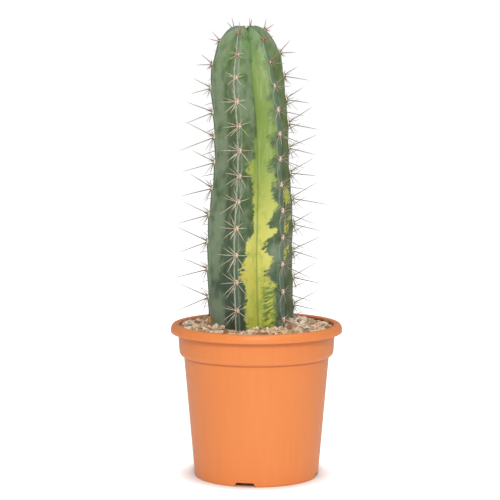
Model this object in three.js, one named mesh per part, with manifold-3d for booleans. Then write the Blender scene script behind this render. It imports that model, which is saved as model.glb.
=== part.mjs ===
// A tall six-ribbed columnar cactus in a round plastic nursery pot, in millimetres.
// +Z is up, the pot stands on Z = 0 with its axis on X = Y = 0, and the front faces -Y.
// Azimuths are in degrees from the front, growing towards +X.
import * as THREE from "three";
import { mergeVertices } from "three/addons/utils/BufferGeometryUtils.js";
import Module from "manifold-3d";

const wasm = await Module();
wasm.setup();

// Pot: a thin moulded shell with a rolled rim, a collar, a tapered body and a foot ring.
const POT_HEIGHT = 152;
const RIM_RADIUS = 85;
const RIM_DEPTH = 8.5;
const RIM_ROLL = { out: 3.6, up: 6 };
const COLLAR_TOP_RADIUS = 77.9;
const COLLAR_FOOT_RADIUS = 76.7;
const COLLAR_FOOT = 126;
const BODY_TOP = 120;
const BODY_TOP_RADIUS = 72;
const BODY_FOOT_RADIUS = 61.7;
const FOOT_ROUND = 1.6;
const WALL = 2;
const FOOT_RING = 3.2;
const FLOOR_UNDERSIDE = 5;
const FLOOR = 2.5;
const POT_SEGMENTS = 48;
const SLIVER = 0.02; // the joins of the spine rows leave slivers finer than this

// Openings of the pot: four notches through the foot ring and drain holes in the floor.
const NOTCH = { width: 21, topWidth: 17, height: 4.2, firstAzimuth: -11, count: 4 };
const DRAIN = { radius: 4, ring: 42, count: 8 };

// Filling, bottom to top: potting soil, then a top dressing of gravel heaped at the stem.
const GAP = 0.4;
const SOIL_TOP = 136;
const GRAVEL_AT_WALL = 144.8;
const GRAVEL_AT_STEM = 151;
const GRAVEL_LUMP = 0.7;
const GRAVEL_SEGMENTS = 60;
const GRAVEL_RINGS = 6;
const HEAP_INNER = 36;

// Stem: crest radius below and above its slight waist, then a blunt dome with a dipped tip.
const STEM = {
  buriedEnd: 120,
  lowerRadius: 43.1,
  upperRadius: 37.4,
  waistFrom: 242,
  waistTo: 322,
  domeFrom: 380,
  top: 446.8,
  domePower: 2.35,
  tipDip: 4,
  tipDipRadius: 7,
  valleyDrop: 5,
};
const AXIS = {
  offset: -5,
  wave: 0.9,
  waveTop: 308,
  waveLength: 180,
  lean: -2.8,
  leanFrom: 345,
  leanTo: 400,
  tipLean: -2.2,
  tipFrom: 415,
};
const VALLEY = 0.68; // valley radius over crest radius
const FRONT_LEFT_VALLEY = 0.77; // the same for the shallow valley after the first rib
const VALLEY_PLACE = 0.47; // where the valley lies between one rib and the next
const CREST_ROUND = 0.12; // softness of the crest, as a part of half a rib
const STEPS_PER_RIB = 8;
const SHAFT_RINGS = 14;
const DOME_RINGS = 8;

// The six ribs, each with its azimuth, the heights of its lowest and highest areole, and how
// full its shoulder is: its crest radius at the tip over that of the fullest ribs.
const RIBS = [
  { azimuth: -81, lowest: 179, highest: 430, areoles: 11, shoulder: 0.98 },
  { azimuth: -19, lowest: 170, highest: 438.5, areoles: 12, shoulder: 0.88 },
  { azimuth: 46.5, lowest: 159.5, highest: 431.5, areoles: 12, shoulder: 0.8 },
  { azimuth: 106, lowest: 169.5, highest: 441, areoles: 12, shoulder: 1 },
  { azimuth: 166, lowest: 161, highest: 443, areoles: 12, shoulder: 0.94 },
  { azimuth: 222, lowest: 170, highest: 441.5, areoles: 12, shoulder: 0.98 },
];
const SPACING_SHRINK = 0.12; // areoles stand closer together towards the tip

// The pale strip along each crest, which carries the areoles and their spines.
const STRIP = { width: 4, thickness: 1.2, gap: 0.6, foot: 153.5, steps: 36 };
const AREOLE = { width: 3.4, height: 4, thickness: 1.4 };
const SPINE_RADIUS = 0.55;
const SPINE_REACH = 83.5; // the furthest a spine's tip stands from the pot's axis along X or Y
const YOUNG_AREOLES = 4; // the top areoles whose spines are still growing
const YOUNGEST = 0.34; // their shortest spines, as a part of a full spine

// One areole's spines: direction on the surface in degrees (0 = right, 90 = up), lift off the
// surface in degrees, and length.
const SPINES = [
  { turn: 8, lift: 22, length: 16.5 },
  { turn: 172, lift: 22, length: 17.5 },
  { turn: -42, lift: 24, length: 20 },
  { turn: -138, lift: 24, length: 20 },
  { turn: -92, lift: 24, length: 13 },
  { turn: 75, lift: 66, length: 32 },
  { turn: -75, lift: 75, length: 37 },
];

// A dry sliver of old skin that stands at the left of the stem's foot.
const FLAKE = {
  azimuth: -68,
  radius: 45.5,
  turn: 45, // from flat against the stem towards the front
  foot: 151.4,
  height: 12.5,
  width: 5,
  thickness: 1.4,
};

const rad = THREE.MathUtils.degToRad;

// A repeatable scatter in -1..1 for each whole number or pair of them.
function scatter(a, b = 0) {
  const s = Math.sin(a * 127.1 + b * 311.7) * 43758.5453;
  return 2 * (s - Math.floor(s)) - 1;
}

function smooth(from, to, v) {
  return THREE.MathUtils.smoothstep(v, from, to);
}

function mesh(name, geometry, color, roughness) {
  const material = new THREE.MeshStandardMaterial({ color, roughness, metalness: 0 });
  const made = new THREE.Mesh(geometry, material);
  made.name = name;
  return made;
}

// A closed geometry as a manifold-3d solid, and back again.
function solid(geometry) {
  const bare = geometry.index ? geometry.toNonIndexed() : geometry.clone();
  bare.deleteAttribute("normal");
  bare.deleteAttribute("uv");
  const merged = mergeVertices(bare, 1e-3);
  return new wasm.Manifold(
    new wasm.Mesh({
      numProp: 3,
      vertProperties: merged.attributes.position.array,
      triVerts: new Uint32Array(merged.index.array),
    }),
  );
}

function geometryOf(made) {
  const { numVert, numProp, vertProperties, triVerts } = made.getMesh();
  const position = new Float32Array(numVert * 3);
  for (let i = 0; i < numVert; i++) {
    position.set(vertProperties.subarray(i * numProp, i * numProp + 3), i * 3);
  }
  const geometry = new THREE.BufferGeometry();
  geometry.setAttribute("position", new THREE.BufferAttribute(position, 3));
  geometry.setIndex(new THREE.BufferAttribute(triVerts, 1));
  geometry.computeVertexNormals();
  return geometry;
}

// A lathe about +Z from [radius, height] points that start and end on the axis, bottom first.
function lathe(points, segments) {
  const profile = points.map(([r, z]) => new THREE.Vector2(r, z));
  return new THREE.LatheGeometry(profile, segments).rotateX(Math.PI / 2);
}

// Points of an arc about [r, z], from one angle to another in degrees (0 = outwards, 90 = up),
// with its half-width and half-height.
function arc(r, z, wide, high, from, to, steps) {
  const points = [];
  for (let i = 0; i <= steps; i++) {
    const a = rad(from + ((to - from) * i) / steps);
    points.push([r + wide * Math.cos(a), z + high * Math.sin(a)]);
  }
  return points;
}

// Moves every vertex of a geometry to where the given function puts it.
function reshape(geometry, move) {
  const position = geometry.attributes.position;
  const point = new THREE.Vector3();
  for (let i = 0; i < position.count; i++) {
    point.fromBufferAttribute(position, i);
    move(point);
    position.setXYZ(i, point.x, point.y, point.z);
  }
  return geometry;
}

// Inside radius of the collar at a height.
function collarInside(z) {
  const share = (z - COLLAR_FOOT) / (POT_HEIGHT - RIM_DEPTH - COLLAR_FOOT);
  return COLLAR_FOOT_RADIUS + (COLLAR_TOP_RADIUS - COLLAR_FOOT_RADIUS) * share - WALL;
}

function pot() {
  const lipFoot = POT_HEIGHT - RIM_DEPTH;
  const lipInner = COLLAR_TOP_RADIUS - WALL;
  const shoulder = [COLLAR_FOOT_RADIUS - BODY_TOP_RADIUS, COLLAR_FOOT - BODY_TOP];
  const outside = [
    [0, FLOOR_UNDERSIDE],
    [BODY_FOOT_RADIUS - FOOT_RING - 0.8, FLOOR_UNDERSIDE],
    [BODY_FOOT_RADIUS - FOOT_RING, 0],
    ...arc(BODY_FOOT_RADIUS - FOOT_ROUND, FOOT_ROUND, FOOT_ROUND, FOOT_ROUND, -90, 0, 3),
    ...arc(BODY_TOP_RADIUS, COLLAR_FOOT, ...shoulder, -90, 0, 4),
    [COLLAR_TOP_RADIUS, lipFoot + 3.5],
    [RIM_RADIUS - WALL, lipFoot + 3.5],
    ...arc(RIM_RADIUS - WALL / 2, lipFoot + WALL / 2, WALL / 2, WALL / 2, -180, 0, 4),
    ...arc(RIM_RADIUS - RIM_ROLL.out, POT_HEIGHT - RIM_ROLL.up, RIM_ROLL.out, RIM_ROLL.up, 0, 90, 5),
  ];
  const inside = [
    [lipInner + 2.6, POT_HEIGHT - 0.5],
    [lipInner + 0.5, POT_HEIGHT - 2.4],
    [lipInner, POT_HEIGHT - 5],
    [collarInside(COLLAR_FOOT), COLLAR_FOOT],
    [BODY_TOP_RADIUS - WALL, BODY_TOP - WALL / 2],
    [BODY_FOOT_RADIUS - WALL, FLOOR_UNDERSIDE + FLOOR],
    [0, FLOOR_UNDERSIDE + FLOOR],
  ];
  let shell = solid(lathe([...outside, ...inside], POT_SEGMENTS));

  const outline = new THREE.Shape([
    new THREE.Vector2(-NOTCH.width / 2, -1),
    new THREE.Vector2(NOTCH.width / 2, -1),
    new THREE.Vector2(NOTCH.topWidth / 2, NOTCH.height),
    new THREE.Vector2(-NOTCH.topWidth / 2, NOTCH.height),
  ]);
  for (let i = 0; i < NOTCH.count; i++) {
    const cut = new THREE.ExtrudeGeometry(outline, { depth: 12, bevelEnabled: false });
    cut.rotateX(Math.PI / 2).translate(0, 6 - BODY_FOOT_RADIUS, 0);
    cut.rotateZ(rad(NOTCH.firstAzimuth + (360 / NOTCH.count) * i));
    shell = shell.subtract(solid(cut));
  }
  for (let i = 0; i <= DRAIN.count; i++) {
    const hole = new THREE.CylinderGeometry(DRAIN.radius, DRAIN.radius, 12, 16);
    const ring = i < DRAIN.count ? DRAIN.ring : 0;
    hole.rotateX(Math.PI / 2).translate(0, -ring, FLOOR_UNDERSIDE);
    hole.rotateZ((2 * Math.PI * i) / DRAIN.count);
    shell = shell.subtract(solid(hole));
  }
  return mesh("pot", geometryOf(shell), 0xf2965a, 0.5);
}

// The stem's axis: a slight wave, and a lean to the left near the tip.
function axisX(z) {
  const wave = AXIS.wave * Math.cos((2 * Math.PI * (z - AXIS.waveTop)) / AXIS.waveLength);
  const lean = AXIS.lean * smooth(AXIS.leanFrom, AXIS.leanTo, z);
  return AXIS.offset + wave + lean + AXIS.tipLean * smooth(AXIS.tipFrom, STEM.top, z);
}

// Radius of the crests at a height on the shaft.
function shaftRadius(z) {
  const share = smooth(STEM.waistFrom, STEM.waistTo, z);
  return STEM.lowerRadius + (STEM.upperRadius - STEM.lowerRadius) * share;
}

// Radius of a rib's crest at a height: the shaft's, then a superellipse over the dome.
function crestRadius(rib, z) {
  if (z <= STEM.domeFrom) return shaftRadius(z);
  const t = Math.min(1, (z - STEM.domeFrom) / (STEM.top - STEM.domeFrom));
  const full = STEM.upperRadius * (1 - t ** STEM.domePower) ** (1 / STEM.domePower);
  return full * shoulder(rib.shoulder, z);
}

// How much of the fullest crest radius is left at a height, for a shoulder of a given share.
function shoulder(share, z) {
  return 1 - (1 - share) * smooth(STEM.domeFrom - 15, STEM.top - 15, z);
}

// Radius share at a place between two crests, down to a given valley: 0 and 1 are crests,
// VALLEY_PLACE is the valley.
function ribShare(place, valley) {
  const down = place < VALLEY_PLACE;
  const fall = down ? place / VALLEY_PLACE : (1 - place) / (1 - VALLEY_PLACE);
  const rounded = Math.hypot(fall, CREST_ROUND) - CREST_ROUND;
  return 1 - ((1 - valley) * rounded) / (Math.hypot(1, CREST_ROUND) - CREST_ROUND);
}

// The ribbed stem, its crests set inwards by inset, as a lathe whose vertices are moved.
function stemGeometry(inset) {
  const profile = [
    [0, STEM.buriedEnd + inset],
    [22, STEM.buriedEnd + inset],
  ];
  for (let i = 0; i <= SHAFT_RINGS; i++) {
    const z = STEM.buriedEnd + 8 + ((STEM.domeFrom - STEM.buriedEnd - 8) * i) / SHAFT_RINGS;
    profile.push([shaftRadius(z) - inset, z]);
  }
  const bend = 2 / STEM.domePower;
  for (let i = 1; i < DOME_RINGS; i++) {
    const a = (Math.PI / 2) * (i / DOME_RINGS);
    const radius = (STEM.upperRadius - inset) * Math.cos(a) ** bend;
    const rise = (STEM.top - STEM.domeFrom - inset) * Math.sin(a) ** bend;
    profile.push([radius, STEM.domeFrom + rise]);
  }
  profile.push([0, STEM.top - inset]);
  const geometry = lathe(profile, RIBS.length * STEPS_PER_RIB);
  return reshape(geometry, (p) => {
    const radius = Math.hypot(p.x, p.y);
    const turn = (Math.atan2(p.x, -p.y) / (2 * Math.PI) + 1 + 1e-6) % 1;
    const rib = Math.floor(turn * RIBS.length) % RIBS.length;
    const place = Math.max(0, turn * RIBS.length - rib - 1e-5);
    const next = RIBS[(rib + 1) % RIBS.length];
    const gap = (next.azimuth - RIBS[rib].azimuth + 360) % 360;
    const azimuth = rad(RIBS[rib].azimuth + gap * place);
    const fullness = RIBS[rib].shoulder + (next.shoulder - RIBS[rib].shoulder) * place;
    const rounding = ribShare(place, rib === 0 ? FRONT_LEFT_VALLEY : VALLEY);
    const share = rounding * shoulder(fullness, p.z);
    const domed = smooth(STEM.domeFrom, STEM.top, p.z);
    const drop = (STEM.valleyDrop * domed * (1 - rounding)) / (1 - VALLEY);
    const dip = STEM.tipDip * Math.exp(-((radius / STEM.tipDipRadius) ** 2)) * domed;
    const centre = axisX(p.z);
    const edge = radius < 1e-3 ? 0 : drop;
    p.x = centre + radius * share * Math.sin(azimuth);
    p.y = -radius * share * Math.cos(azimuth);
    p.z -= edge + dip;
  });
}

// A point on a rib's crest with its outward, upward and rightward directions.
function crestFrame(rib, z) {
  const azimuth = rad(rib.azimuth);
  const at = (h) => {
    const r = crestRadius(rib, h);
    return new THREE.Vector3(axisX(h) + r * Math.sin(azimuth), -r * Math.cos(azimuth), h);
  };
  const point = at(z);
  const up = at(z + 0.4).sub(at(z - 0.4)).normalize();
  const right = new THREE.Vector3(Math.cos(azimuth), Math.sin(azimuth), 0);
  const out = new THREE.Vector3().crossVectors(right, up).normalize();
  return { point, up, right: new THREE.Vector3().crossVectors(up, out), out };
}

// Height of areole number i of a rib, counted from the gravel.
function areoleHeight(rib, i) {
  const t = i / (rib.areoles - 1);
  return rib.lowest + (rib.highest - rib.lowest) * t * (1 + SPACING_SHRINK * (1 - t));
}

// The strip along a crest, as a long box bent to follow it.
function crestStrip(rib) {
  const length = rib.highest + 1.5 - STRIP.foot;
  const box = new THREE.BoxGeometry(STRIP.width, STRIP.thickness, length, 1, 1, STRIP.steps);
  return reshape(box, (p) => {
    const { point, right, out } = crestFrame(rib, STRIP.foot + length / 2 + p.z);
    const across = -p.x;
    const depth = p.y - STRIP.thickness / 2;
    p.copy(point).addScaledVector(right, across).addScaledVector(out, depth);
  });
}

// The way a spine points, from its turn on the surface and its lift off it.
function spineWay(frame, turn, lift) {
  return new THREE.Vector3()
    .addScaledVector(frame.right, Math.cos(rad(turn)) * Math.cos(rad(lift)))
    .addScaledVector(frame.up, Math.sin(rad(turn)) * Math.cos(rad(lift)))
    .addScaledVector(frame.out, Math.sin(rad(lift)));
}

// Length of a spine that ends above the gravel and no further out than the pot's rim.
function spineLength(point, way, fullLength) {
  const above = way.z < 0 ? (point.z - STRIP.foot) / -way.z : Infinity;
  const aside = (SPINE_REACH - point.x * Math.sign(way.x)) / Math.abs(way.x);
  const along = (SPINE_REACH - point.y * Math.sign(way.y)) / Math.abs(way.y);
  return Math.min(fullLength, above, aside, along);
}

// One spine: a slim three-sided point from the areole's middle.
function spine(frame, way, fullLength) {
  const length = spineLength(frame.point, way, fullLength);
  const cone = new THREE.ConeGeometry(SPINE_RADIUS, length, 3).translate(0, length / 2, 0);
  const turned = new THREE.Quaternion().setFromUnitVectors(new THREE.Vector3(0, 1, 0), way);
  const foot = frame.point.clone().addScaledVector(frame.out, SPINE_RADIUS * 0.4);
  cone.applyQuaternion(turned).translate(foot.x, foot.y, foot.z);
  return solid(cone);
}

// A rib's crest strip with its areole cushions and spines, joined to one piece.
function spineRow(rib, number) {
  let row = solid(crestStrip(rib));
  for (let i = 0; i < rib.areoles; i++) {
    const frame = crestFrame(rib, areoleHeight(rib, i));
    const basis = new THREE.Matrix4().makeBasis(frame.right, frame.up, frame.out);
    basis.setPosition(frame.point);
    const cushion = new THREE.OctahedronGeometry(1).rotateZ(Math.PI / 4);
    cushion.scale(AREOLE.width, AREOLE.height, AREOLE.thickness).applyMatrix4(basis);
    row = row.add(solid(cushion));
    const age = Math.min(1, (rib.areoles - 1 - i) / YOUNG_AREOLES);
    const grown = YOUNGEST + (1 - YOUNGEST) * age;
    SPINES.forEach((kind, k) => {
      const mark = number * 40 + i;
      const turn = kind.turn + 9 * scatter(mark, k);
      const lift = kind.lift + 5 * scatter(mark, k + 20);
      const length = kind.length * grown * (1 + 0.18 * scatter(mark, k + 40));
      row = row.add(spine(frame, spineWay(frame, turn, lift), length));
    });
  }
  return mesh("spine_row_" + number, geometryOf(row.simplify(SLIVER)), 0xd9c9ae, 0.6);
}

function soil(hollow) {
  const floor = FLOOR_UNDERSIDE + FLOOR + GAP;
  const plug = lathe(
    [
      [0, floor],
      [BODY_FOOT_RADIUS - WALL - GAP, floor],
      [BODY_TOP_RADIUS - WALL - GAP, BODY_TOP - WALL / 2],
      [collarInside(COLLAR_FOOT) - GAP, COLLAR_FOOT + GAP],
      [collarInside(COLLAR_FOOT) - GAP, SOIL_TOP],
      [0, SOIL_TOP],
    ],
    POT_SEGMENTS,
  );
  return mesh("potting_soil", geometryOf(solid(plug).subtract(hollow)), 0x3b2a20, 0.95);
}

// The top dressing: a lumpy bed that rises from the wall to the stem.
function gravel(hollow) {
  const edge = collarInside(SOIL_TOP) - GAP;
  const foot = SOIL_TOP + GAP;
  const heap = [];
  for (let i = 0; i <= GRAVEL_RINGS; i++) {
    const radius = edge - ((edge - HEAP_INNER) * i) / GRAVEL_RINGS;
    const rise = 1 - smooth(STEM.lowerRadius, edge, radius);
    heap.push([radius, GRAVEL_AT_WALL + (GRAVEL_AT_STEM - GRAVEL_AT_WALL) * rise]);
  }
  const outline = [[0, foot], [edge, foot], ...heap, [0, GRAVEL_AT_STEM]];
  const bed = reshape(lathe(outline, GRAVEL_SEGMENTS), (p) => {
    const radius = Math.hypot(p.x, p.y);
    const loose = p.z > foot + 1 && radius > 1 && radius < edge - 1;
    if (loose) p.z += GRAVEL_LUMP * scatter(Math.round(p.x * 2), Math.round(p.y * 2));
  });
  return mesh("gravel", geometryOf(solid(bed).subtract(hollow)), 0xc4ad8c, 0.9);
}

// The dry sliver: a pointed flake beside the stem's foot.
function dryFlake() {
  const outline = new THREE.Shape();
  outline.moveTo(-FLAKE.width / 2, 0);
  outline.lineTo(FLAKE.width / 2, 0);
  outline.quadraticCurveTo(FLAKE.width / 3, FLAKE.height * 0.7, -FLAKE.width * 0.1, FLAKE.height);
  outline.quadraticCurveTo(-FLAKE.width * 0.3, FLAKE.height * 0.5, -FLAKE.width / 2, 0);
  const sliver = new THREE.ExtrudeGeometry(outline, {
    depth: FLAKE.thickness,
    bevelEnabled: false,
    curveSegments: 5,
  });
  sliver.rotateX(Math.PI / 2);
  const flake = mesh("dry_flake", sliver, 0xa5794f, 0.85);
  const azimuth = rad(FLAKE.azimuth);
  const across = axisX(FLAKE.foot) + FLAKE.radius * Math.sin(azimuth);
  flake.position.set(across, -FLAKE.radius * Math.cos(azimuth), FLAKE.foot);
  flake.rotation.z = azimuth + rad(FLAKE.turn);
  return flake;
}

const cactus = new THREE.Group();
const hollow = solid(stemGeometry(-GAP));
cactus.add(pot(), soil(hollow), gravel(hollow));
const stemInset = STRIP.thickness + STRIP.gap;
cactus.add(mesh("cactus_stem", geometryOf(solid(stemGeometry(stemInset))), 0x5c7f4e, 0.55));
RIBS.forEach((rib, i) => cactus.add(spineRow(rib, i + 1)));
cactus.add(dryFlake());

export default cactus;
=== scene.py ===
"""Looks of a potted six-ribbed columnar cactus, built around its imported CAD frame.

Every shape is worked out in millimetres in the row frame (+Z up, front facing -Y, pot axis on
X = Y = 0) and turned to metres when its mesh is made. Azimuths are in degrees from the front,
growing towards +X, as in the CAD source whose formulas the stem and the spines follow.
"""

import logging
import math
from dataclasses import dataclass, field
from enum import Enum

import bpy
import numpy as np
from bpy.types import Material, Node, NodeSocket, NodeTree, Object
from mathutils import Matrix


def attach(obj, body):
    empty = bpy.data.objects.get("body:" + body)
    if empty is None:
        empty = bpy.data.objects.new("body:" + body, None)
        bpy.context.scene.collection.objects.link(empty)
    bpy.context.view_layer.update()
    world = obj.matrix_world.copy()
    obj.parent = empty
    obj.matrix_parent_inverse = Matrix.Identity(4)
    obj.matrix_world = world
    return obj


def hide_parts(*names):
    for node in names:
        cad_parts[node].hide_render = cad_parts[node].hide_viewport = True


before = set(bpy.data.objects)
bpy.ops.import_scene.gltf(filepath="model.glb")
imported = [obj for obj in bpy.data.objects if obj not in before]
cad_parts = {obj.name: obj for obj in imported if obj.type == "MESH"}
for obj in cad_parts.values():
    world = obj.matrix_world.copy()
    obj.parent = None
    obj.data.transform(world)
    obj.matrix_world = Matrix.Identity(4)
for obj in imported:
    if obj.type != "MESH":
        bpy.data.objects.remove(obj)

log = logging.getLogger("cactus")

MM = 0.001
BODY = "root"
Array = np.ndarray
Colour = tuple[float, float, float, float]
Knots = tuple[tuple[float, float], ...]
Vector3 = tuple[float, float, float]
Look = dict[str, Node | NodeSocket]

# What several nodes share: their settings, and white.
RGBA = {"data_type": "RGBA"}
STEP = {"interpolation_type": "SMOOTHSTEP"}
TIMES = {"operation": "MULTIPLY"}
SCALE_SHIFT = {"operation": "MULTIPLY_ADD"}
WHITE = (1.0, 1.0, 1.0, 1.0)


class Slot(Enum):
    """Material slots of the record."""

    POT = "pot_plastic"
    SOIL = "potting_soil"
    GRAVEL = "gravel"
    SKIN = "cactus_skin"
    SPINES = "spines"
    FLAKE = "dry_skin"


# ---------------------------------------------------------------- numbers and shapes


def linear(code: str) -> Colour:
    """Turns a colour's sRGB hex code into linear RGBA.

    A channel up to 0.04045 is divided by 12.92; to a higher one 0.055 is added, the sum is divided by
    1.055 and raised to the power 2.4.

    Args:
        code: Six hex digits.

    Returns:
        Red, green, blue and alpha.
    """
    parts = [int(code[i : i + 2], 16) / 255 for i in (0, 2, 4)]
    bent = [c / 12.92 if c <= 0.04045 else ((c + 0.055) / 1.055) ** 2.4 for c in parts]
    return (bent[0], bent[1], bent[2], 1.0)


def smooth(low: float, high: float, value: Array) -> Array:
    """Rises smoothly from 0 at low to 1 at high: three times t squared less twice t cubed."""
    t = np.clip((value - low) / (high - low), 0.0, 1.0)
    return t * t * (3 - 2 * t)


def scatter(a: Array, b: Array | float = 0.0) -> Array:
    """Gives the CAD source's repeatable scatter in -1..1 for pairs of whole numbers."""
    wave = np.sin(np.asarray(a) * 127.1 + np.asarray(b) * 311.7) * 43758.5453
    return 2 * (wave - np.floor(wave)) - 1


def bell(value: Array, middle: float, width: float) -> Array:
    """Gives e to minus the squared distance from the middle, counted in widths."""
    return np.exp(-(((value - middle) / width) ** 2))


def hoops(way: Array, guide: Array, angles: Array) -> Array:
    """Gives unit circles square to each way.

    One axis of a circle is the cross product of way and guide at length 1, the other that of way and
    the first axis; a point is their sum weighted by its angle's cosine and sine.

    Args:
        way: Unit directions (..., 3).
        guide: Directions that aren't along the ways.
        angles: Angles of the circle's points.

    Returns:
        Array (..., points, 3).
    """
    side = np.cross(way, guide)
    side /= np.linalg.norm(side, axis=-1, keepdims=True)
    over = np.cross(way, side)
    return side[..., None, :] * np.cos(angles)[:, None] + over[..., None, :] * np.sin(angles)[:, None]


def arc(r: float, z: float, wide: float, high: float, start: float, end: float, steps: int) -> Array:
    """Gives [radius, height] points of an ellipse's arc.

    A point is the centre plus the half-width times the angle's cosine and the half-height times its sine.

    Args:
        r: Radius of the arc's centre.
        z: Height of the arc's centre.
        wide: Half-width of the ellipse.
        high: Half-height of the ellipse.
        start: First angle in degrees, 0 outwards and 90 up.
        end: Last angle in degrees.
        steps: Number of steps between them.

    Returns:
        An array of steps + 1 points.
    """
    angle = np.radians(np.linspace(start, end, steps + 1))
    return np.column_stack([r + wide * np.cos(angle), z + high * np.sin(angle)])


@dataclass
class Surface:
    """Points in millimetres, faces as four point numbers (-1 closes a triangle), and fields.

    Attributes:
        points: Array (n, 3).
        faces: Array (m, 4).
        fields: Float values per point, by attribute name.
    """

    points: Array
    faces: Array
    fields: dict[str, Array] = field(default_factory=dict)

    @staticmethod
    def joined(parts: "list[Surface]") -> "Surface":
        """Puts several surfaces with the same fields into one.

        Args:
            parts: The surfaces.

        Returns:
            One surface, each part's point numbers shifted past those before it.
        """
        starts = np.cumsum([0] + [len(p.points) for p in parts[:-1]])
        faces = [np.where(p.faces < 0, -1, p.faces + s) for p, s in zip(parts, starts)]
        names = parts[0].fields
        fields = {n: np.concatenate([p.fields[n] for p in parts]) for n in names}
        return Surface(np.concatenate([p.points for p in parts]), np.concatenate(faces), fields)

    def build(self, name: str, material: Material, shade_smooth: bool = True) -> Object:
        """Makes the mesh object of this surface.

        Args:
            name: Name of the object and its mesh.
            material: Its only material.
            shade_smooth: False keeps the facets.

        Returns:
            The new object, at the origin and linked to the scene.
        """
        mesh = bpy.data.meshes.new(name)
        faces = self.faces.astype(np.int32)
        counts = (faces >= 0).sum(1)
        loops = faces[faces >= 0]
        mesh.vertices.add(len(self.points))
        mesh.vertices.foreach_set("co", (self.points * MM).astype(np.float32).ravel())
        mesh.loops.add(len(loops))
        mesh.loops.foreach_set("vertex_index", loops)
        mesh.polygons.add(len(faces))
        starts = np.concatenate([[0], np.cumsum(counts)[:-1]]).astype(np.int32)
        mesh.polygons.foreach_set("loop_start", starts)
        mesh.polygons.foreach_set("use_smooth", np.full(len(faces), shade_smooth))
        for key, values in self.fields.items():
            layer = mesh.attributes.new(key, "FLOAT", "POINT")
            layer.data.foreach_set("value", values.astype(np.float32).ravel())
        mesh.materials.append(material)
        mesh.update(calc_edges=True)
        mesh.validate()
        made = bpy.data.objects.new(name, mesh)
        bpy.context.scene.collection.objects.link(made)
        return made


def tubes(rings: Array, first: Array | None, last: Array | None) -> Surface:
    """Closes grids of rings into surfaces that face outwards.

    Each ring runs anticlockwise when it is seen from the far end of its tube.

    Args:
        rings: Array (tubes, rows, columns, 3).
        first: Pole points (tubes, 3) that close the first ring, or None to leave it open.
        last: Pole points that close the last ring, or None.

    Returns:
        All the tubes as one surface.
    """
    count, rows, columns, _ = rings.shape
    index = np.arange(rows * columns).reshape(rows, columns)
    a, b = index[:-1], index[1:]
    quads = np.stack([a, np.roll(a, -1, 1), np.roll(b, -1, 1), b], -1).reshape(-1, 4)
    parts, points, size = [quads], [rings.reshape(count, -1, 3)], rows * columns
    for pole, ring, turned in ((first, index[0], True), (last, index[-1], False)):
        if pole is None:
            continue
        ends = np.roll(ring, -1)
        pair = (ends, ring) if turned else (ring, ends)
        middle = np.full(columns, size)
        parts.append(np.stack([*pair, middle, np.full(columns, -1)], -1))
        points.append(pole[:, None, :])
        size += 1
    faces = np.concatenate(parts)
    shift = (np.arange(count) * size)[:, None, None]
    every = np.where(faces[None] < 0, -1, faces[None] + shift).reshape(-1, 4)
    return Surface(np.concatenate(points, 1).reshape(-1, 3), every)


def revolve(profile: Array, azimuths: Array) -> Array:
    """Turns [radius, height] points about +Z into rings, one per point.

    X is the radius times the azimuth's sine, and Y is minus the radius times its cosine.

    Args:
        profile: Array (rows, 2).
        azimuths: Angles in degrees from the front, growing.

    Returns:
        Array (rows, columns, 3).
    """
    turn = np.radians(azimuths)[None, :]
    radius, height = profile[:, :1], profile[:, 1:]
    z = np.broadcast_to(height, (len(profile), len(azimuths)))
    return np.stack([radius * np.sin(turn), -radius * np.cos(turn), z], -1)


# ---------------------------------------------------------------- node materials


def add(tree: NodeTree, kind: str, inputs: dict | None = None, **settings: object) -> Node:
    """Adds a shader node with its settings and links.

    Args:
        tree: The node tree.
        kind: Node type without its ShaderNode prefix.
        inputs: Values, sockets or nodes by input name or number; a node gives its first live output.
        settings: Properties of the node; ramp holds the stops of a colour ramp.

    Returns:
        The new node.
    """
    node = tree.nodes.new("ShaderNode" + kind)
    stops = settings.pop("ramp", ())
    for _ in stops[2:]:
        node.color_ramp.elements.new(0.5)
    for number, (position, colour) in enumerate(stops):
        node.color_ramp.elements[number].position = position
        node.color_ramp.elements[number].color = colour
    for key, value in settings.items():
        setattr(node, key, value)
    for key, value in (inputs or {}).items():
        if isinstance(value, Node):
            value = next(out for out in value.outputs if out.enabled)
        if isinstance(value, NodeSocket):
            tree.links.new(value, node.inputs[key])
        else:
            node.inputs[key].default_value = value
    return node


def lay(tree: NodeTree, colour: Colour | Node, *coats: tuple) -> Node:
    """Lays coats of colour over a colour, each where a value rises smoothly from bare to full.

    Args:
        tree: The node tree.
        colour: The colour below.
        coats: Each coat's value, its bare and its full point, its share at the full point, and hex code.

    Returns:
        The node that gives the covered colour.
    """
    for value, bare, full, most, code in coats:
        given = {"Value": value, "From Min": bare, "From Max": full, "To Max": most}
        share = add(tree, "MapRange", given, **STEP)
        colour = add(tree, "Mix", {0: share, 6: colour, 7: linear(code)}, **RGBA)
    return colour


def per(size: float) -> float:
    """Gives the texture scale whose patches have that size in millimetres: one over it in metres."""
    return 1 / (size * MM)


def ladder(*stops: tuple[float, str]) -> list[tuple[float, Colour]]:
    """Gives the stops of a colour ramp from places and hex codes."""
    return [(position, linear(code)) for position, code in stops]


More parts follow.
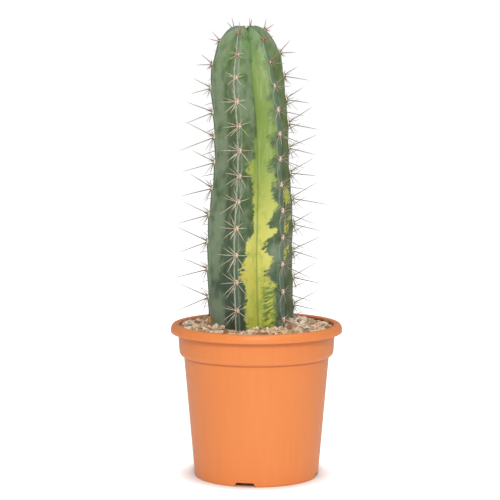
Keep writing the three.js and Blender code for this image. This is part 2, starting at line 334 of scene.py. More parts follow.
@dataclass(frozen=True)
class Finish:
    """A procedural material: the values that every finish has, and its first and last nodes.

    Attributes:
        name: Material name.
        roughness: Middle roughness of the surface.
        ior: Index of refraction.
    """

    name: str
    roughness: float
    ior: float

    def start(self, *fields: str) -> tuple:
        """Makes the empty material and what its nodes read.

        Args:
            fields: Names of the mesh's attributes.

        Returns:
            The material, its tree, its Object coordinates and the socket of each attribute.
        """
        material = bpy.data.materials.new(self.name)
        material.use_nodes = True
        tree = material.node_tree
        tree.nodes.clear()
        place = add(tree, "TexCoord").outputs["Object"]
        read = [add(tree, "Attribute", attribute_name=name).outputs["Fac"] for name in fields]
        return material, tree, place, *read

    def finish(self, tree: NodeTree, inputs: dict) -> None:
        """Ends a tree with its Principled shader and output.

        Args:
            tree: The node tree.
            inputs: What the shader is given beyond the roughness and the index of refraction.
        """
        given = {"Roughness": self.roughness, "IOR": self.ior, **inputs}
        shader = add(tree, "BsdfPrincipled", given)
        add(tree, "OutputMaterial", {"Surface": shader})


@dataclass(frozen=True)
class MouldedPolypropylene(Finish):
    """Moulded polypropylene, terracotta-coloured."""

    # To the eye: an even, satin orange whose highlights are broad, with faint upright flow lines
    # from the mould, a few dusty rubs, and painted shade in the collar's crease, under the lip and on the
    # inner wall.

    body: str = "E88845"
    deep: str = "E68542"
    rubbed: str = "EE9E6E"
    # Colour of the painted shade in the collar's crease, under the lip and on the inner wall.
    shaded: str = "7E3A24"

    def make(self) -> Material:
        """Makes the material.

        Returns:
            The new material.
        """
        material, tree, place, painted_shade = self.start("painted_shade")
        tall = add(tree, "Mapping", {"Vector": place, "Scale": (1.0, 1.0, 0.025)})
        flow = add(tree, "TexNoise", {"Vector": tall, "Scale": per(5), "Detail": 2.0})
        flat = add(tree, "Mapping", {"Vector": place, "Scale": (1.0, 1.0, 4.0)})
        rubs = add(tree, "TexNoise", {"Vector": flat, "Scale": per(9), "Detail": 6.0})
        coats = ((flow, 0.25, 0.75, 1.0, self.body), (rubs, 0.62, 0.8, 0.24, self.rubbed))
        colour = lay(tree, linear(self.deep), *coats)
        # Painted shade: darkens the collar's crease, under the lip and the inner wall towards the shaded
        # colour.
        painted_shade = add(tree, "Math", {0: painted_shade, 1: 0.9}, **TIMES)
        colour = add(tree, "Mix", {0: painted_shade, 6: colour, 7: linear(self.shaded)}, **RGBA)
        gloss = add(tree, "Math", {0: rubs, 1: 0.22, 2: self.roughness - 0.11}, **SCALE_SHIFT)
        fine = add(tree, "TexNoise", {"Vector": place, "Scale": per(1.2), "Detail": 2.0})
        bump = add(tree, "Bump", {"Strength": 0.12, "Distance": 0.0002, "Height": fine})
        self.finish(tree, {"Base Color": colour, "Roughness": gloss, "Normal": bump})
        return material


@dataclass(frozen=True)
class DarkPottingSoil(Finish):
    """Damp peat and bark."""

    # To the eye: nearly black brown with lighter crumbs, seen in the drain holes and the gaps.

    def make(self) -> Material:
        """Makes the material.

        Returns:
            The new material.
        """
        material, tree, place = self.start()
        crumbs = add(tree, "TexNoise", {"Vector": place, "Scale": per(3), "Detail": 5.0})
        colour = lay(tree, linear("2E211A"), (crumbs, 0.35, 0.7, 1.0, "5A4534"))
        bump = add(tree, "Bump", {"Distance": 0.002, "Height": crumbs})
        self.finish(tree, {"Base Color": colour, "Normal": bump})
        return material


@dataclass(frozen=True)
class CrushedStone(Finish):
    """Crushed limestone and quartz."""

    # To the eye: matt chips, each its own cream, tan, pink or grey, with grainy faces; the dark
    # brown gaps between them and the darker lower chips are painted shade.

    tones: tuple[str, ...] = (
        "93704F", "E4C6A2", "F4E2CA", "C79F7A", "ECD0B0", "DBB094", "FAEEDC", "B29B7C",
    )

    def make(self) -> Material:
        """Makes the material.

        Returns:
            The new material.
        """
        material, tree, place, chip, depth = self.start("chip", "depth")
        stops = ladder(*((i / len(self.tones), tone) for i, tone in enumerate(self.tones)))
        tone = add(tree, "ValToRGB", {"Fac": chip}, ramp=stops)
        tone.color_ramp.interpolation = "CONSTANT"
        grain = add(tree, "TexNoise", {"Vector": place, "Scale": per(1.6), "Detail": 5.0})
        colour = lay(tree, tone, (grain, 0.6, 0.32, 0.45, "86694A"))
        # Painted shade: the bed and the lower chips are darkened towards dark brown by the depth field.
        colour = add(tree, "Mix", {0: depth, 6: colour, 7: linear("40291B")}, **RGBA)
        bump = add(tree, "Bump", {"Strength": 0.5, "Distance": 0.0006, "Height": grain})
        self.finish(tree, {"Base Color": colour, "Normal": bump})
        return material


@dataclass(frozen=True)
class VariegatedSkin(Finish):
    """Waxy cactus skin."""

    # To the eye: a soft sheen over mottled green with grey bloom, blue-dark low down and fresher
    # at the tip; ragged lime and yellow sectors; grey-green crests between pale corky lines.

    def make(self) -> Material:
        """Makes the material.

        Returns:
            The new material.
        """
        names = ("valley", "olive", "bloom", "gold", "leafy", "lime", "soft", "band", "teal", "cork")
        material, tree, place, *read = self.start(*names)
        look = dict(zip(names, read))
        height = add(tree, "SeparateXYZ", {"Vector": place}).outputs["Z"]
        look["rise"] = add(tree, "MapRange", {"Value": height, "From Min": 0.13, "From Max": 0.45})
        tall = add(tree, "Mapping", {"Vector": place, "Scale": (1.0, 1.0, 0.64)})
        long = add(tree, "Mapping", {"Vector": place, "Scale": (1.0, 1.0, 0.11)})
        aslant = {"Vector": place, "Rotation": (0.0, math.radians(66), 0.0), "Scale": (1.0, 1.0, 5.0)}
        aslant = add(tree, "Mapping", aslant, vector_type="TEXTURE")
        patterns = (
            ("coarse", tall, 26.0, 3.0), ("middle", tall, 7.0, 4.0), ("fine", place, 1.8, 4.0),
            ("streak", long, 3.2, 3.0), ("feather", aslant, 2.0, 3.0), ("pores", place, 0.9, 2.0),
        )
        for name, vector, size, detail in patterns:
            look[name] = add(tree, "TexNoise", {"Vector": vector, "Scale": per(size), "Detail": detail})

        green, lime = self.greens(tree, look), self.limes(tree, look)
        colour = add(tree, "Mix", {0: self.sectors(tree, look), 6: green, 7: lime}, **RGBA)
        colour = lay(tree, colour, (look["valley"], 1.5, 0.1, 0.6, "4F6B33"))
        colour = self.crests(tree, look, colour)
        colour = lay(tree, colour, (look["pores"], 0.66, 0.76, 0.3, "3E5232"))
        relief = add(tree, "Math", {0: look["fine"], 1: look["streak"]})
        bump = add(tree, "Bump", {"Strength": 0.35, "Distance": 0.0005, "Height": relief})
        gloss = add(tree, "Math", {0: look["middle"], 1: 0.2, 2: self.roughness - 0.1}, **SCALE_SHIFT)
        self.finish(tree, {"Base Color": colour, "Roughness": gloss, "Normal": bump})
        return material

    def greens(self, tree: NodeTree, look: Look) -> Node:
        """Gives the green of the plain skin.

        Args:
            tree: The node tree.
            look: Nodes and sockets that the skin reads, by name.

        Returns:
            The node of the colour: a ramp up the stem under dark, olive, grey and pale coats.
        """
        stops = ladder(
            (0.0, "23372B"), (0.13, "374C3A"), (0.35, "4A603E"),
            (0.6, "54673E"), (0.82, "6A8552"), (1.0, "7A9B62"),
        )
        base = add(tree, "ValToRGB", {"Fac": look["rise"]}, ramp=stops)
        base = lay(tree, base, (look["middle"], 0.56, 0.36, 0.5, "3B4E32"))
        base = add(tree, "Mix", {0: look["olive"], 6: base, 7: linear("5C6A38")}, **RGBA)
        grey = add(tree, "Math", {0: look["coarse"], 1: 1.9, 2: look["bloom"]}, **SCALE_SHIFT)
        grey = add(tree, "Math", {0: look["middle"], 1: 1.1, 2: grey}, **SCALE_SHIFT)
        return lay(tree, base, (grey, 1.35, 2.05, 0.8, "7F8E74"), (look["streak"], 0.55, 0.72, 0.3, "84966A"))

    def limes(self, tree: NodeTree, look: Look) -> Node:
        """Gives the colour of the variegated sectors: yellow-lime low down, green-lime above.

        Args:
            tree: The node tree.
            look: Nodes and sockets that the skin reads, by name.

        Returns:
            The node of the colour: a ramp up the stem under gold, pale and green coats.
        """
        stops = ladder(
            (0.0, "B4BE40"), (0.17, "C0C052"), (0.3, "D3CF68"), (0.4, "C4C662"),
            (0.56, "899F46"), (0.7, "7D9745"), (0.85, "7D9552"), (1.0, "759256"),
        )
        coats = (
            (look["gold"], -1.6, 1.4, 0.6, "CDBA48"),
            (look["streak"], 0.45, 0.7, 0.3, "BFCB90"),
            (look["middle"], 0.5, 0.34, 0.35, "7C9A3E"),
        )
        lime = lay(tree, add(tree, "ValToRGB", {"Fac": look["rise"]}, ramp=stops), *coats)
        blots = add(tree, "MapRange", {"Value": look["feather"], "From Min": 0.4, "From Max": 0.58}, **STEP)
        blots = add(tree, "Math", {0: look["leafy"], 1: blots}, **TIMES)
        return add(tree, "Mix", {0: blots, 6: lime, 7: linear("5F7A30")}, **RGBA)

    def sectors(self, tree: NodeTree, look: Look) -> Node:
        """Gives where the sectors show: the field's millimetres inside, made ragged by noise.

        Args:
            tree: The node tree.
            look: Nodes and sockets that the skin reads, by name.

        Returns:
            The node of the sectors' share, which turns smoothly over the edge's soft width.
        """
        edge = look["lime"]
        for noise, reach in ((look["middle"], 13.0), (look["feather"], 14.0)):
            ragged = add(tree, "Math", {0: noise, 1: reach, 2: -reach / 2}, **SCALE_SHIFT)
            edge = add(tree, "Math", {0: edge, 1: ragged})
        edge = add(tree, "Math", {0: edge, 1: look["soft"]}, operation="DIVIDE")
        return add(tree, "MapRange", {"Value": edge, "From Min": -1.0, "From Max": 1.0}, **STEP)

    def crests(self, tree: NodeTree, look: Look, colour: Node) -> Node:
        """Lays the grey-green crest bands and their pale edge lines over the skin's colour.

        Args:
            tree: The node tree.
            look: Nodes and sockets that the skin reads, by name.
            colour: The skin's colour.

        Returns:
            The node of the covered colour.
        """
        inner = add(tree, "MapRange", {"Value": look["band"], "From Min": 0.3, "From Max": -0.3}, **STEP)
        inner = add(tree, "Math", {0: inner, 1: look["teal"]}, **TIMES)
        colour = add(tree, "Mix", {0: inner, 6: colour, 7: linear("5B7263")}, **RGBA)
        aside = add(tree, "Math", {0: look["band"]}, operation="ABSOLUTE")
        line = add(tree, "MapRange", {"Value": aside, "From Min": 0.8, "From Max": 0.15}, **STEP)
        broken = add(tree, "MapRange", {"Value": look["fine"], "From Min": 0.25, "From Max": 0.5}, **STEP)
        for share in (look["cork"], broken):
            line = add(tree, "Math", {0: line, 1: share}, **TIMES)
        return add(tree, "Mix", {0: line, 6: colour, 7: linear("BCC1A4")}, **RGBA)


@dataclass(frozen=True)
class Spine(Finish):
    """Horny spine."""

    # To the eye: a reddish brown foot, a cream shaft and a darker tip; old ones weathered to a
    # brownish grey, young ones pink.

    def make(self) -> Material:
        """Makes the material.

        Returns:
            The new material.
        """
        material, tree, place, along, aged, young = self.start("along", "aged", "young")
        stops = ladder((0.0, "A06C50"), (0.1, "C8AE8C"), (0.4, "E2DCC4"), (0.8, "CFC6AE"), (1.0, "806C5E"))
        colour = add(tree, "ValToRGB", {"Fac": along}, ramp=stops)
        for share, code in ((aged, "6A5F5B"), (young, "A85850")):
            colour = add(tree, "Mix", {0: share, 6: colour, 7: linear(code)}, **RGBA)
        specks = add(tree, "TexNoise", {"Vector": place, "Scale": per(1), "Detail": 2.0})
        self.finish(tree, {"Base Color": lay(tree, colour, (specks, 0.4, 0.7, 0.2, "BCA68C"))})
        return material


@dataclass(frozen=True)
class ArealFelt(Finish):
    """Short felt of the areoles."""

    # To the eye: soft cream wool that catches light at its edge, redder and darker in the middle.

    def make(self) -> Material:
        """Makes the material.

        Returns:
            The new material.
        """
        material, tree, place, heart = self.start("heart")
        fluff = add(tree, "TexNoise", {"Vector": place, "Scale": per(0.7), "Detail": 3.0})
        coats = ((fluff, 0.35, 0.65, 1.0, "F5EADB"), (heart, 0.45, 0.05, 0.7, "B27A62"))
        colour = lay(tree, linear("DCC4A6"), *coats)
        bump = add(tree, "Bump", {"Strength": 0.8, "Distance": 0.0005, "Height": fluff})
        self.finish(tree, {"Base Color": colour, "Normal": bump, "Sheen Weight": 0.4})
        return material


@dataclass(frozen=True)
class DrySkin(Finish):
    """Papery dead skin."""

    # To the eye: dull tan with upright fibres, and dark red-brown along its edges and tip, partly torn skin
    # and partly painted shade.

    def make(self) -> Material:
        """Makes the material.

        Returns:
            The new material.
        """
        material, tree, place, torn_and_shade = self.start("torn_and_shade")
        tall = add(tree, "Mapping", {"Vector": place, "Scale": (1.0, 1.0, 0.17)})
        fibre = add(tree, "TexNoise", {"Vector": tall, "Scale": per(1.2), "Detail": 4.0})
        # The dark red-brown edges and tip are partly torn skin and partly painted shade.
        coats = ((fibre, 0.35, 0.65, 1.0, "C79A6A"), (torn_and_shade, 0.55, 0.95, 1.0, "5A2E22"))
        colour = lay(tree, linear("8C5E3E"), *coats)
        bump = add(tree, "Bump", {"Strength": 0.6, "Distance": 0.0005, "Height": fibre})
        self.finish(tree, {"Base Color": colour, "Normal": bump})
        return material


@dataclass(frozen=True)
class MattPaper(Finish):
    """Seamless matt white studio paper."""

    # To the eye: a white without edges, washed with light a little away from the object, so that
    # only a soft shadow is left at its foot.

    seen_glow: float = 0.7
    cast_glow: float = 0.2
    glow_from: float = 0.056
    glow_full: float = 0.092

    def make(self) -> Material:
        """Makes the material.

        Returns:
            The new material.
        """
        material, tree, place = self.start()
        tooth = add(tree, "TexNoise", {"Vector": place, "Scale": per(40), "Detail": 2.0})
        colour = lay(tree, linear("F7F6F6"), (tooth, 0.3, 0.7, 1.0, "F9F9F9"))
        away = add(tree, "VectorMath", {0: place}, operation="LENGTH")
        given = {"Value": away, "From Min": self.glow_from, "From Max": self.glow_full}
        wash = add(tree, "MapRange", given, **STEP)
        seen = add(tree, "LightPath").outputs["Is Camera Ray"]
        glow = add(tree, "MapRange", {"Value": seen, "To Min": self.cast_glow, "To Max": self.seen_glow})
        wash = add(tree, "Math", {0: wash, 1: glow}, **TIMES)
        self.finish(tree, {"Base Color": colour, "Emission Color": WHITE, "Emission Strength": wash})
        return material


# ---------------------------------------------------------------- the pot


@dataclass
class NurseryPot:
    """The moulded pot: rolled rim, collar, tapered body, foot ring with notches, drain holes.

    All sizes are in millimetres and the same as in the CAD source.
    """

    height: float = 152.0
    rim_radius: float = 85.0
    rim_depth: float = 8.5
    collar_top: float = 77.9
    collar_foot: float = 76.7
    collar_foot_height: float = 126.0
    body_top: float = 72.0
    body_top_height: float = 120.0
    body_foot: float = 61.7
    wall: float = 2.0
    foot_round: float = 1.6
    foot_ring: float = 3.2
    floor_underside: float = 5.0
    floor: float = 2.5
    notch_width: float = 21.0
    notch_top_width: float = 17.0
    notch_height: float = 4.2
    notch_first: float = -11.0
    notches: int = 4
    drain_radius: float = 4.0
    drain_ring: float = 42.0
    drains: int = 8
    columns: int = 216
    corner_gap: float = 0.5
    sharp_from: float = 35.0

    def profile(self) -> Array:
        """Gives the shell's [radius, height] outline, from the underside out and over the rim.

        Returns:
            Array (rows, 2).
        """
        lip = self.height - self.rim_depth
        inner = self.collar_top - self.wall
        foot = self.body_foot
        shoulder = (self.collar_foot - self.body_top, self.collar_foot_height - self.body_top_height)
        taper = np.linspace(0.02, 0.985, 24)[:, None]
        low, high = np.array([[foot, self.foot_round]]), np.array([[self.body_top, self.body_top_height]])
        collar = np.linspace(0.05, 0.97, 6)[:, None]
        collar_low = np.array([[self.collar_foot, self.collar_foot_height]])
        collar_high = np.array([[self.collar_top, lip + 3.5]])
        return np.concatenate([
            [[foot * share, self.floor_underside] for share in (0.25, 0.5, 0.75, 0.88)],
            [[foot - self.foot_ring - 1.4, self.floor_underside]],
            [[foot - self.foot_ring - 0.9, self.floor_underside - 0.4]],
            [[foot - self.foot_ring - 0.2, 0.5], [foot - self.foot_ring + 0.3, 0.0]],
            arc(foot - self.foot_round, self.foot_round, self.foot_round, self.foot_round, -90, 0, 6),
            low + (high - low) * taper,
            arc(self.body_top, self.collar_foot_height, *shoulder, -90, 0, 10),
            collar_low + (collar_high - collar_low) * collar,
            arc(self.collar_top + 0.6, lip + 2.9, 0.6, 0.6, 180, 90, 3),
            [[self.rim_radius - self.wall, lip + 3.5]],
            arc(self.rim_radius - self.wall / 2, lip + self.wall / 2, 1.0, 1.0, -180, 0, 8),
            arc(self.rim_radius - 3.6, self.height - 6.0, 3.6, 6.0, 0, 90, 12),
            arc(inner + 3.0, self.height - 3.0, 3.0, 3.0, 90, 180, 6),
            [[inner, self.height - 5], [inner - 0.6, 138.0], [inner - 1.2, self.collar_foot_height]],
            [[self.body_top - self.wall, self.body_top_height - self.wall / 2]],
            [[foot - self.wall, self.floor_underside + self.floor]],
            [[foot * share, self.floor_underside + self.floor] for share in (0.75, 0.5, 0.25)],
        ])

    def azimuths(self) -> Array:
        """Gives the columns: even steps, and a column at each corner of each notch.

        Returns:
            Azimuths in degrees, growing, without the even ones that a corner stands too close to.
        """
        corners = [
            self.notch_first + 360 / self.notches * i + side * math.degrees(width / 2 / self.body_foot)
            for i in range(self.notches)
            for width in (self.notch_top_width, self.notch_width)
            for side in (-1, 1)
        ]
        even = np.linspace(0, 360, self.columns, endpoint=False)
        corners = np.mod(corners, 360)
        clear = np.abs((even[:, None] - corners[None, :] + 180) % 360 - 180).min(1) > self.corner_gap
        return np.sort(np.concatenate([even[clear], corners]))

    def notched(self, rings: Array, azimuths: Array) -> Array:
        """Lifts the foot's rings over the notches, whose sides slope as they were moulded.

        A column's lift is the notch's height times its distance inside the notch's foot over the slope's
        width, kept within 0 and 1.

        Args:
            rings: Array (rows, columns, 3).
            azimuths: Azimuth of each column in degrees.

        Returns:
            The rings with the lifted ones.
        """
        near = (azimuths - self.notch_first + 180 / self.notches) % (360 / self.notches)
        across = np.abs(near - 180 / self.notches) * math.pi / 180 * self.body_foot
        half, top = self.notch_width / 2, self.notch_top_width / 2
        lift = np.clip((half - across) / (half - top), 0, 1)[None, :] * self.notch_height
        foot = rings[..., 2] < self.floor_underside - 0.1
        outer = np.hypot(rings[..., 0], rings[..., 1]) > self.body_foot - self.foot_ring - 1.2
        raised = np.where(foot & outer, np.maximum(rings[..., 2], lift), rings[..., 2])
        return np.stack([rings[..., 0], rings[..., 1], raised], -1)

    def painted_shade(self, points: Array) -> Array:
        """Gives where shade is painted: the collar's crease, under the lip, and the inner wall.

        The crease's share is a bell over the height; the others rise and fall smoothly along it.

        Args:
            points: Array (n, 3).

        Returns:
            A share of painted shade from 0, none, to 1 for each point.
        """
        radius, z = np.hypot(points[:, 0], points[:, 1]), points[:, 2]
        outer = radius > self.body_top - 0.6
        crease = bell(z, self.body_top_height + 0.1, 0.8) * (radius < self.body_top + 1.6)
        lip = self.height - self.rim_depth
        under = smooth(lip + 4.6, lip + 2.6, z) * smooth(lip - 1.4, lip + 0.4, z)
        under *= radius < self.rim_radius - 1.4
        wall = (radius < self.collar_top - 1.7) & (z > self.collar_foot_height + 4)
        edge = (radius < self.collar_top + 1.2) & (z > lip + 4.2)
        inner = np.where(wall | edge, smooth(self.height + 0.1, self.height - 1.8, z), 0.0)
        return np.clip(np.where(outer, 0.5 * crease + 0.6 * under, 0.0) + inner, 0, 1)

    def build(self, finish: Finish) -> Object:
        """Makes the pot with its drain holes cut through.

        Args:
            finish: Its plastic.

        Returns:
            The new object.
        """
        azimuths = self.azimuths()
        rings = self.notched(revolve(self.profile(), azimuths), azimuths)
        poles = [np.array([[0.0, 0.0, h]]) for h in (self.floor_underside, self.floor_underside + self.floor)]
        surface = tubes(rings[None], poles[0], poles[1])
        # The field of painted shade: the collar's crease, under the lip and the inner wall.
        surface.fields = {"painted_shade": self.painted_shade(surface.points)}
        shell = surface.build("pot_shell", finish.make())
        cutter = self.drain_cutter(shell.data.materials[0])
        cut = shell.modifiers.new("drain holes", "BOOLEAN")
        cut.object, cut.operation, cut.solver = cutter, "DIFFERENCE", "EXACT"
        graph = bpy.context.evaluated_depsgraph_get()
        holed = bpy.data.meshes.new_from_object(shell.evaluated_get(graph))
        shell.modifiers.clear()
        shell.data = holed
        bpy.data.objects.remove(cutter)
        holed.polygons.foreach_set("use_smooth", np.full(len(holed.polygons), True))
        holed.set_sharp_from_angle(angle=math.radians(self.sharp_from))
        return shell

    def drain_cutter(self, material: Material) -> Object:
        """Makes the rods that stand where the drain holes go.

        Args:
            material: Any material.

        Returns:
            One object with a rod for each hole of the ring and one in the middle.
        """
        turn = np.radians(360 / self.drains * np.arange(self.drains))
        centres = np.column_stack([self.drain_ring * np.sin(turn), -self.drain_ring * np.cos(turn)])
        centres = np.concatenate([centres, [[0.0, 0.0]]])[:, None, None, :]
        around = np.radians(np.linspace(0, 360, 24, endpoint=False))[None, None, :]
        heights = np.array([1.0, 12.0])[None, :, None]
        x = centres[..., 0] + self.drain_radius * np.sin(around) + 0 * heights
        y = centres[..., 1] - self.drain_radius * np.cos(around) + 0 * heights
        rods = np.stack([x, y, heights + 0 * x], -1)
        middle = rods.mean(2)
        return tubes(rods, middle[:, 0], middle[:, 1]).build("drain_cutter", material)

    def dress(self, shell: Object) -> None:
        """Ties the pot to the frame.

        Args:
            shell: The built piece.
        """
        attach(shell, BODY)
        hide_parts("pot")


# ---------------------------------------------------------------- the stem


@dataclass(frozen=True)
class Rib:
    """One rib: its azimuth, lowest and highest areole, their number, and its shoulder's share."""

    azimuth: float
    lowest: float
    highest: float
    areoles: int
    shoulder: float


RIBS = (
    Rib(-81, 179, 430, 11, 0.98),
    Rib(-19, 170, 438.5, 12, 0.88),
    Rib(46.5, 159.5, 431.5, 12, 0.8),
    Rib(106, 169.5, 441, 12, 1),
    Rib(166, 161, 443, 12, 0.94),
    Rib(222, 170, 441.5, 12, 0.98),
)
LEFT_RIB, FRONT_RIB, SIDE_RIB, FAR_LEFT_RIB = 0, 1, 2, 5
OUTSIDE = -30.0  # millimetres inside a sector, for a point far from it


@dataclass
class StemForm:
    """The stem's measures in millimetres, as in the CAD source, and the formulas of its shape."""

    buried: float = 131.0
    lower_radius: float = 43.1
    upper_radius: float = 37.4
    waist: tuple[float, float] = (242.0, 322.0)
    dome_from: float = 380.0
    top: float = 446.8
    dome_power: float = 2.35
    tip_dip: float = 4.0
    tip_dip_radius: float = 7.0
    valley_drop: float = 5.0
    valley: float = 0.68
    valleys: tuple[float, ...] = (0.77, 0.68, 0.68, 0.68, 0.68, 0.68)
    valley_place: float = 0.47
    crest_round: float = 0.12
    valley_rounds: tuple[float, ...] = (0.4, 0.05, 0.12, 0.12, 0.12, 0.12)
    spacing_shrink: float = 0.12

    def axis(self, z: Array) -> Array:
        """Gives the axis's X at a height: a slight wave, and a lean to the left near the tip."""
        wave = 0.9 * np.cos(2 * np.pi * (z - 308) / 180)
        return -5 + wave - 2.8 * smooth(345, 400, z) - 2.2 * smooth(415, self.top, z)

    def shaft(self, z: Array) -> Array:
        """Gives the crests' radius on the shaft."""
        return self.lower_radius + (self.upper_radius - self.lower_radius) * smooth(*self.waist, z)

    def shoulder(self, share: Array, z: Array) -> Array:
        """Gives how much of the fullest crest radius is left for a shoulder of that share."""
        return 1 - (1 - share) * smooth(self.dome_from - 15, self.top - 15, z)

    def crest_radius(self, rib: Rib, z: Array) -> Array:
        """Gives a crest's radius: the shaft's, then a superellipse over the dome.

        Over the dome, the share of its height is raised to a power and taken from 1, and the root of that
        power times the shaft's radius is the crest's, less the shoulder's loss.

        Args:
            rib: The rib.
            z: Heights.

        Returns:
            Radii in millimetres.
        """
        t = np.clip((z - self.dome_from) / (self.top - self.dome_from), 0, 1)
        full = (1 - t**self.dome_power) ** (1 / self.dome_power)
        return self.shaft(z) * full * self.shoulder(rib.shoulder, z)

    def rib_share(self, place: Array, rib: Array) -> Array:
        """Gives the share of the crest radius at a place from that rib's crest, 0, to the next, 1.

        The share falls in a straight line from each crest to the valley. A hyperbola rounds the fall at
        the crest and another rounds it in the valley, and the valley's depth scales it.

        Args:
            place: Places between two crests.
            rib: Number of the rib before each place.

        Returns:
            Shares up to 1.
        """
        near = self.valley_place
        fall = np.where(place < near, place / near, (1 - place) / (1 - near))
        soft = np.array(self.valley_rounds)[rib]
        fall = 1 - (np.hypot(1 - fall, soft) - soft) / (np.hypot(1, soft) - soft)
        rounded = np.hypot(fall, self.crest_round) - self.crest_round
        depth = 1 - np.array(self.valleys)[rib]
        return 1 - depth * rounded / (np.hypot(1, self.crest_round) - self.crest_round)

    def areoles(self, rib: Rib) -> Array:
        """Gives the heights of a rib's areoles, which stand closer towards the tip."""
        t = np.arange(rib.areoles) / (rib.areoles - 1)
        return rib.lowest + (rib.highest - rib.lowest) * t * (1 + self.spacing_shrink * (1 - t))

    def crest_point(self, rib: Rib, z: Array) -> Array:
        """Gives points (n, 3) of a rib's crest line.

        Args:
            rib: The rib.
            z: Heights.

        Returns:
            The points, turned from the front by the rib's azimuth.
        """
        turn, radius = math.radians(rib.azimuth), self.crest_radius(rib, z)
        x = self.axis(z) + radius * math.sin(turn)
        return np.stack([x, -radius * math.cos(turn), z], -1)

    def crest_frames(self, rib: Rib, z: Array) -> tuple[Array, ...]:
        """Gives crest points with their right, up and out directions, each (n, 3).

        Up runs along the crest line, right is square to it and nearly level, and out is square to both.

        Args:
            rib: The rib.
            z: Heights.

        Returns:
            Points, right, up and out.
        """
        up = self.crest_point(rib, z + 0.4) - self.crest_point(rib, z - 0.4)
        up /= np.linalg.norm(up, axis=1, keepdims=True)
        turn = math.radians(rib.azimuth)
        right = np.broadcast_to([math.cos(turn), math.sin(turn), 0.0], up.shape)
        out = np.cross(right, up)
        out /= np.linalg.norm(out, axis=1, keepdims=True)
        return self.crest_point(rib, z), np.cross(up, out), up, out


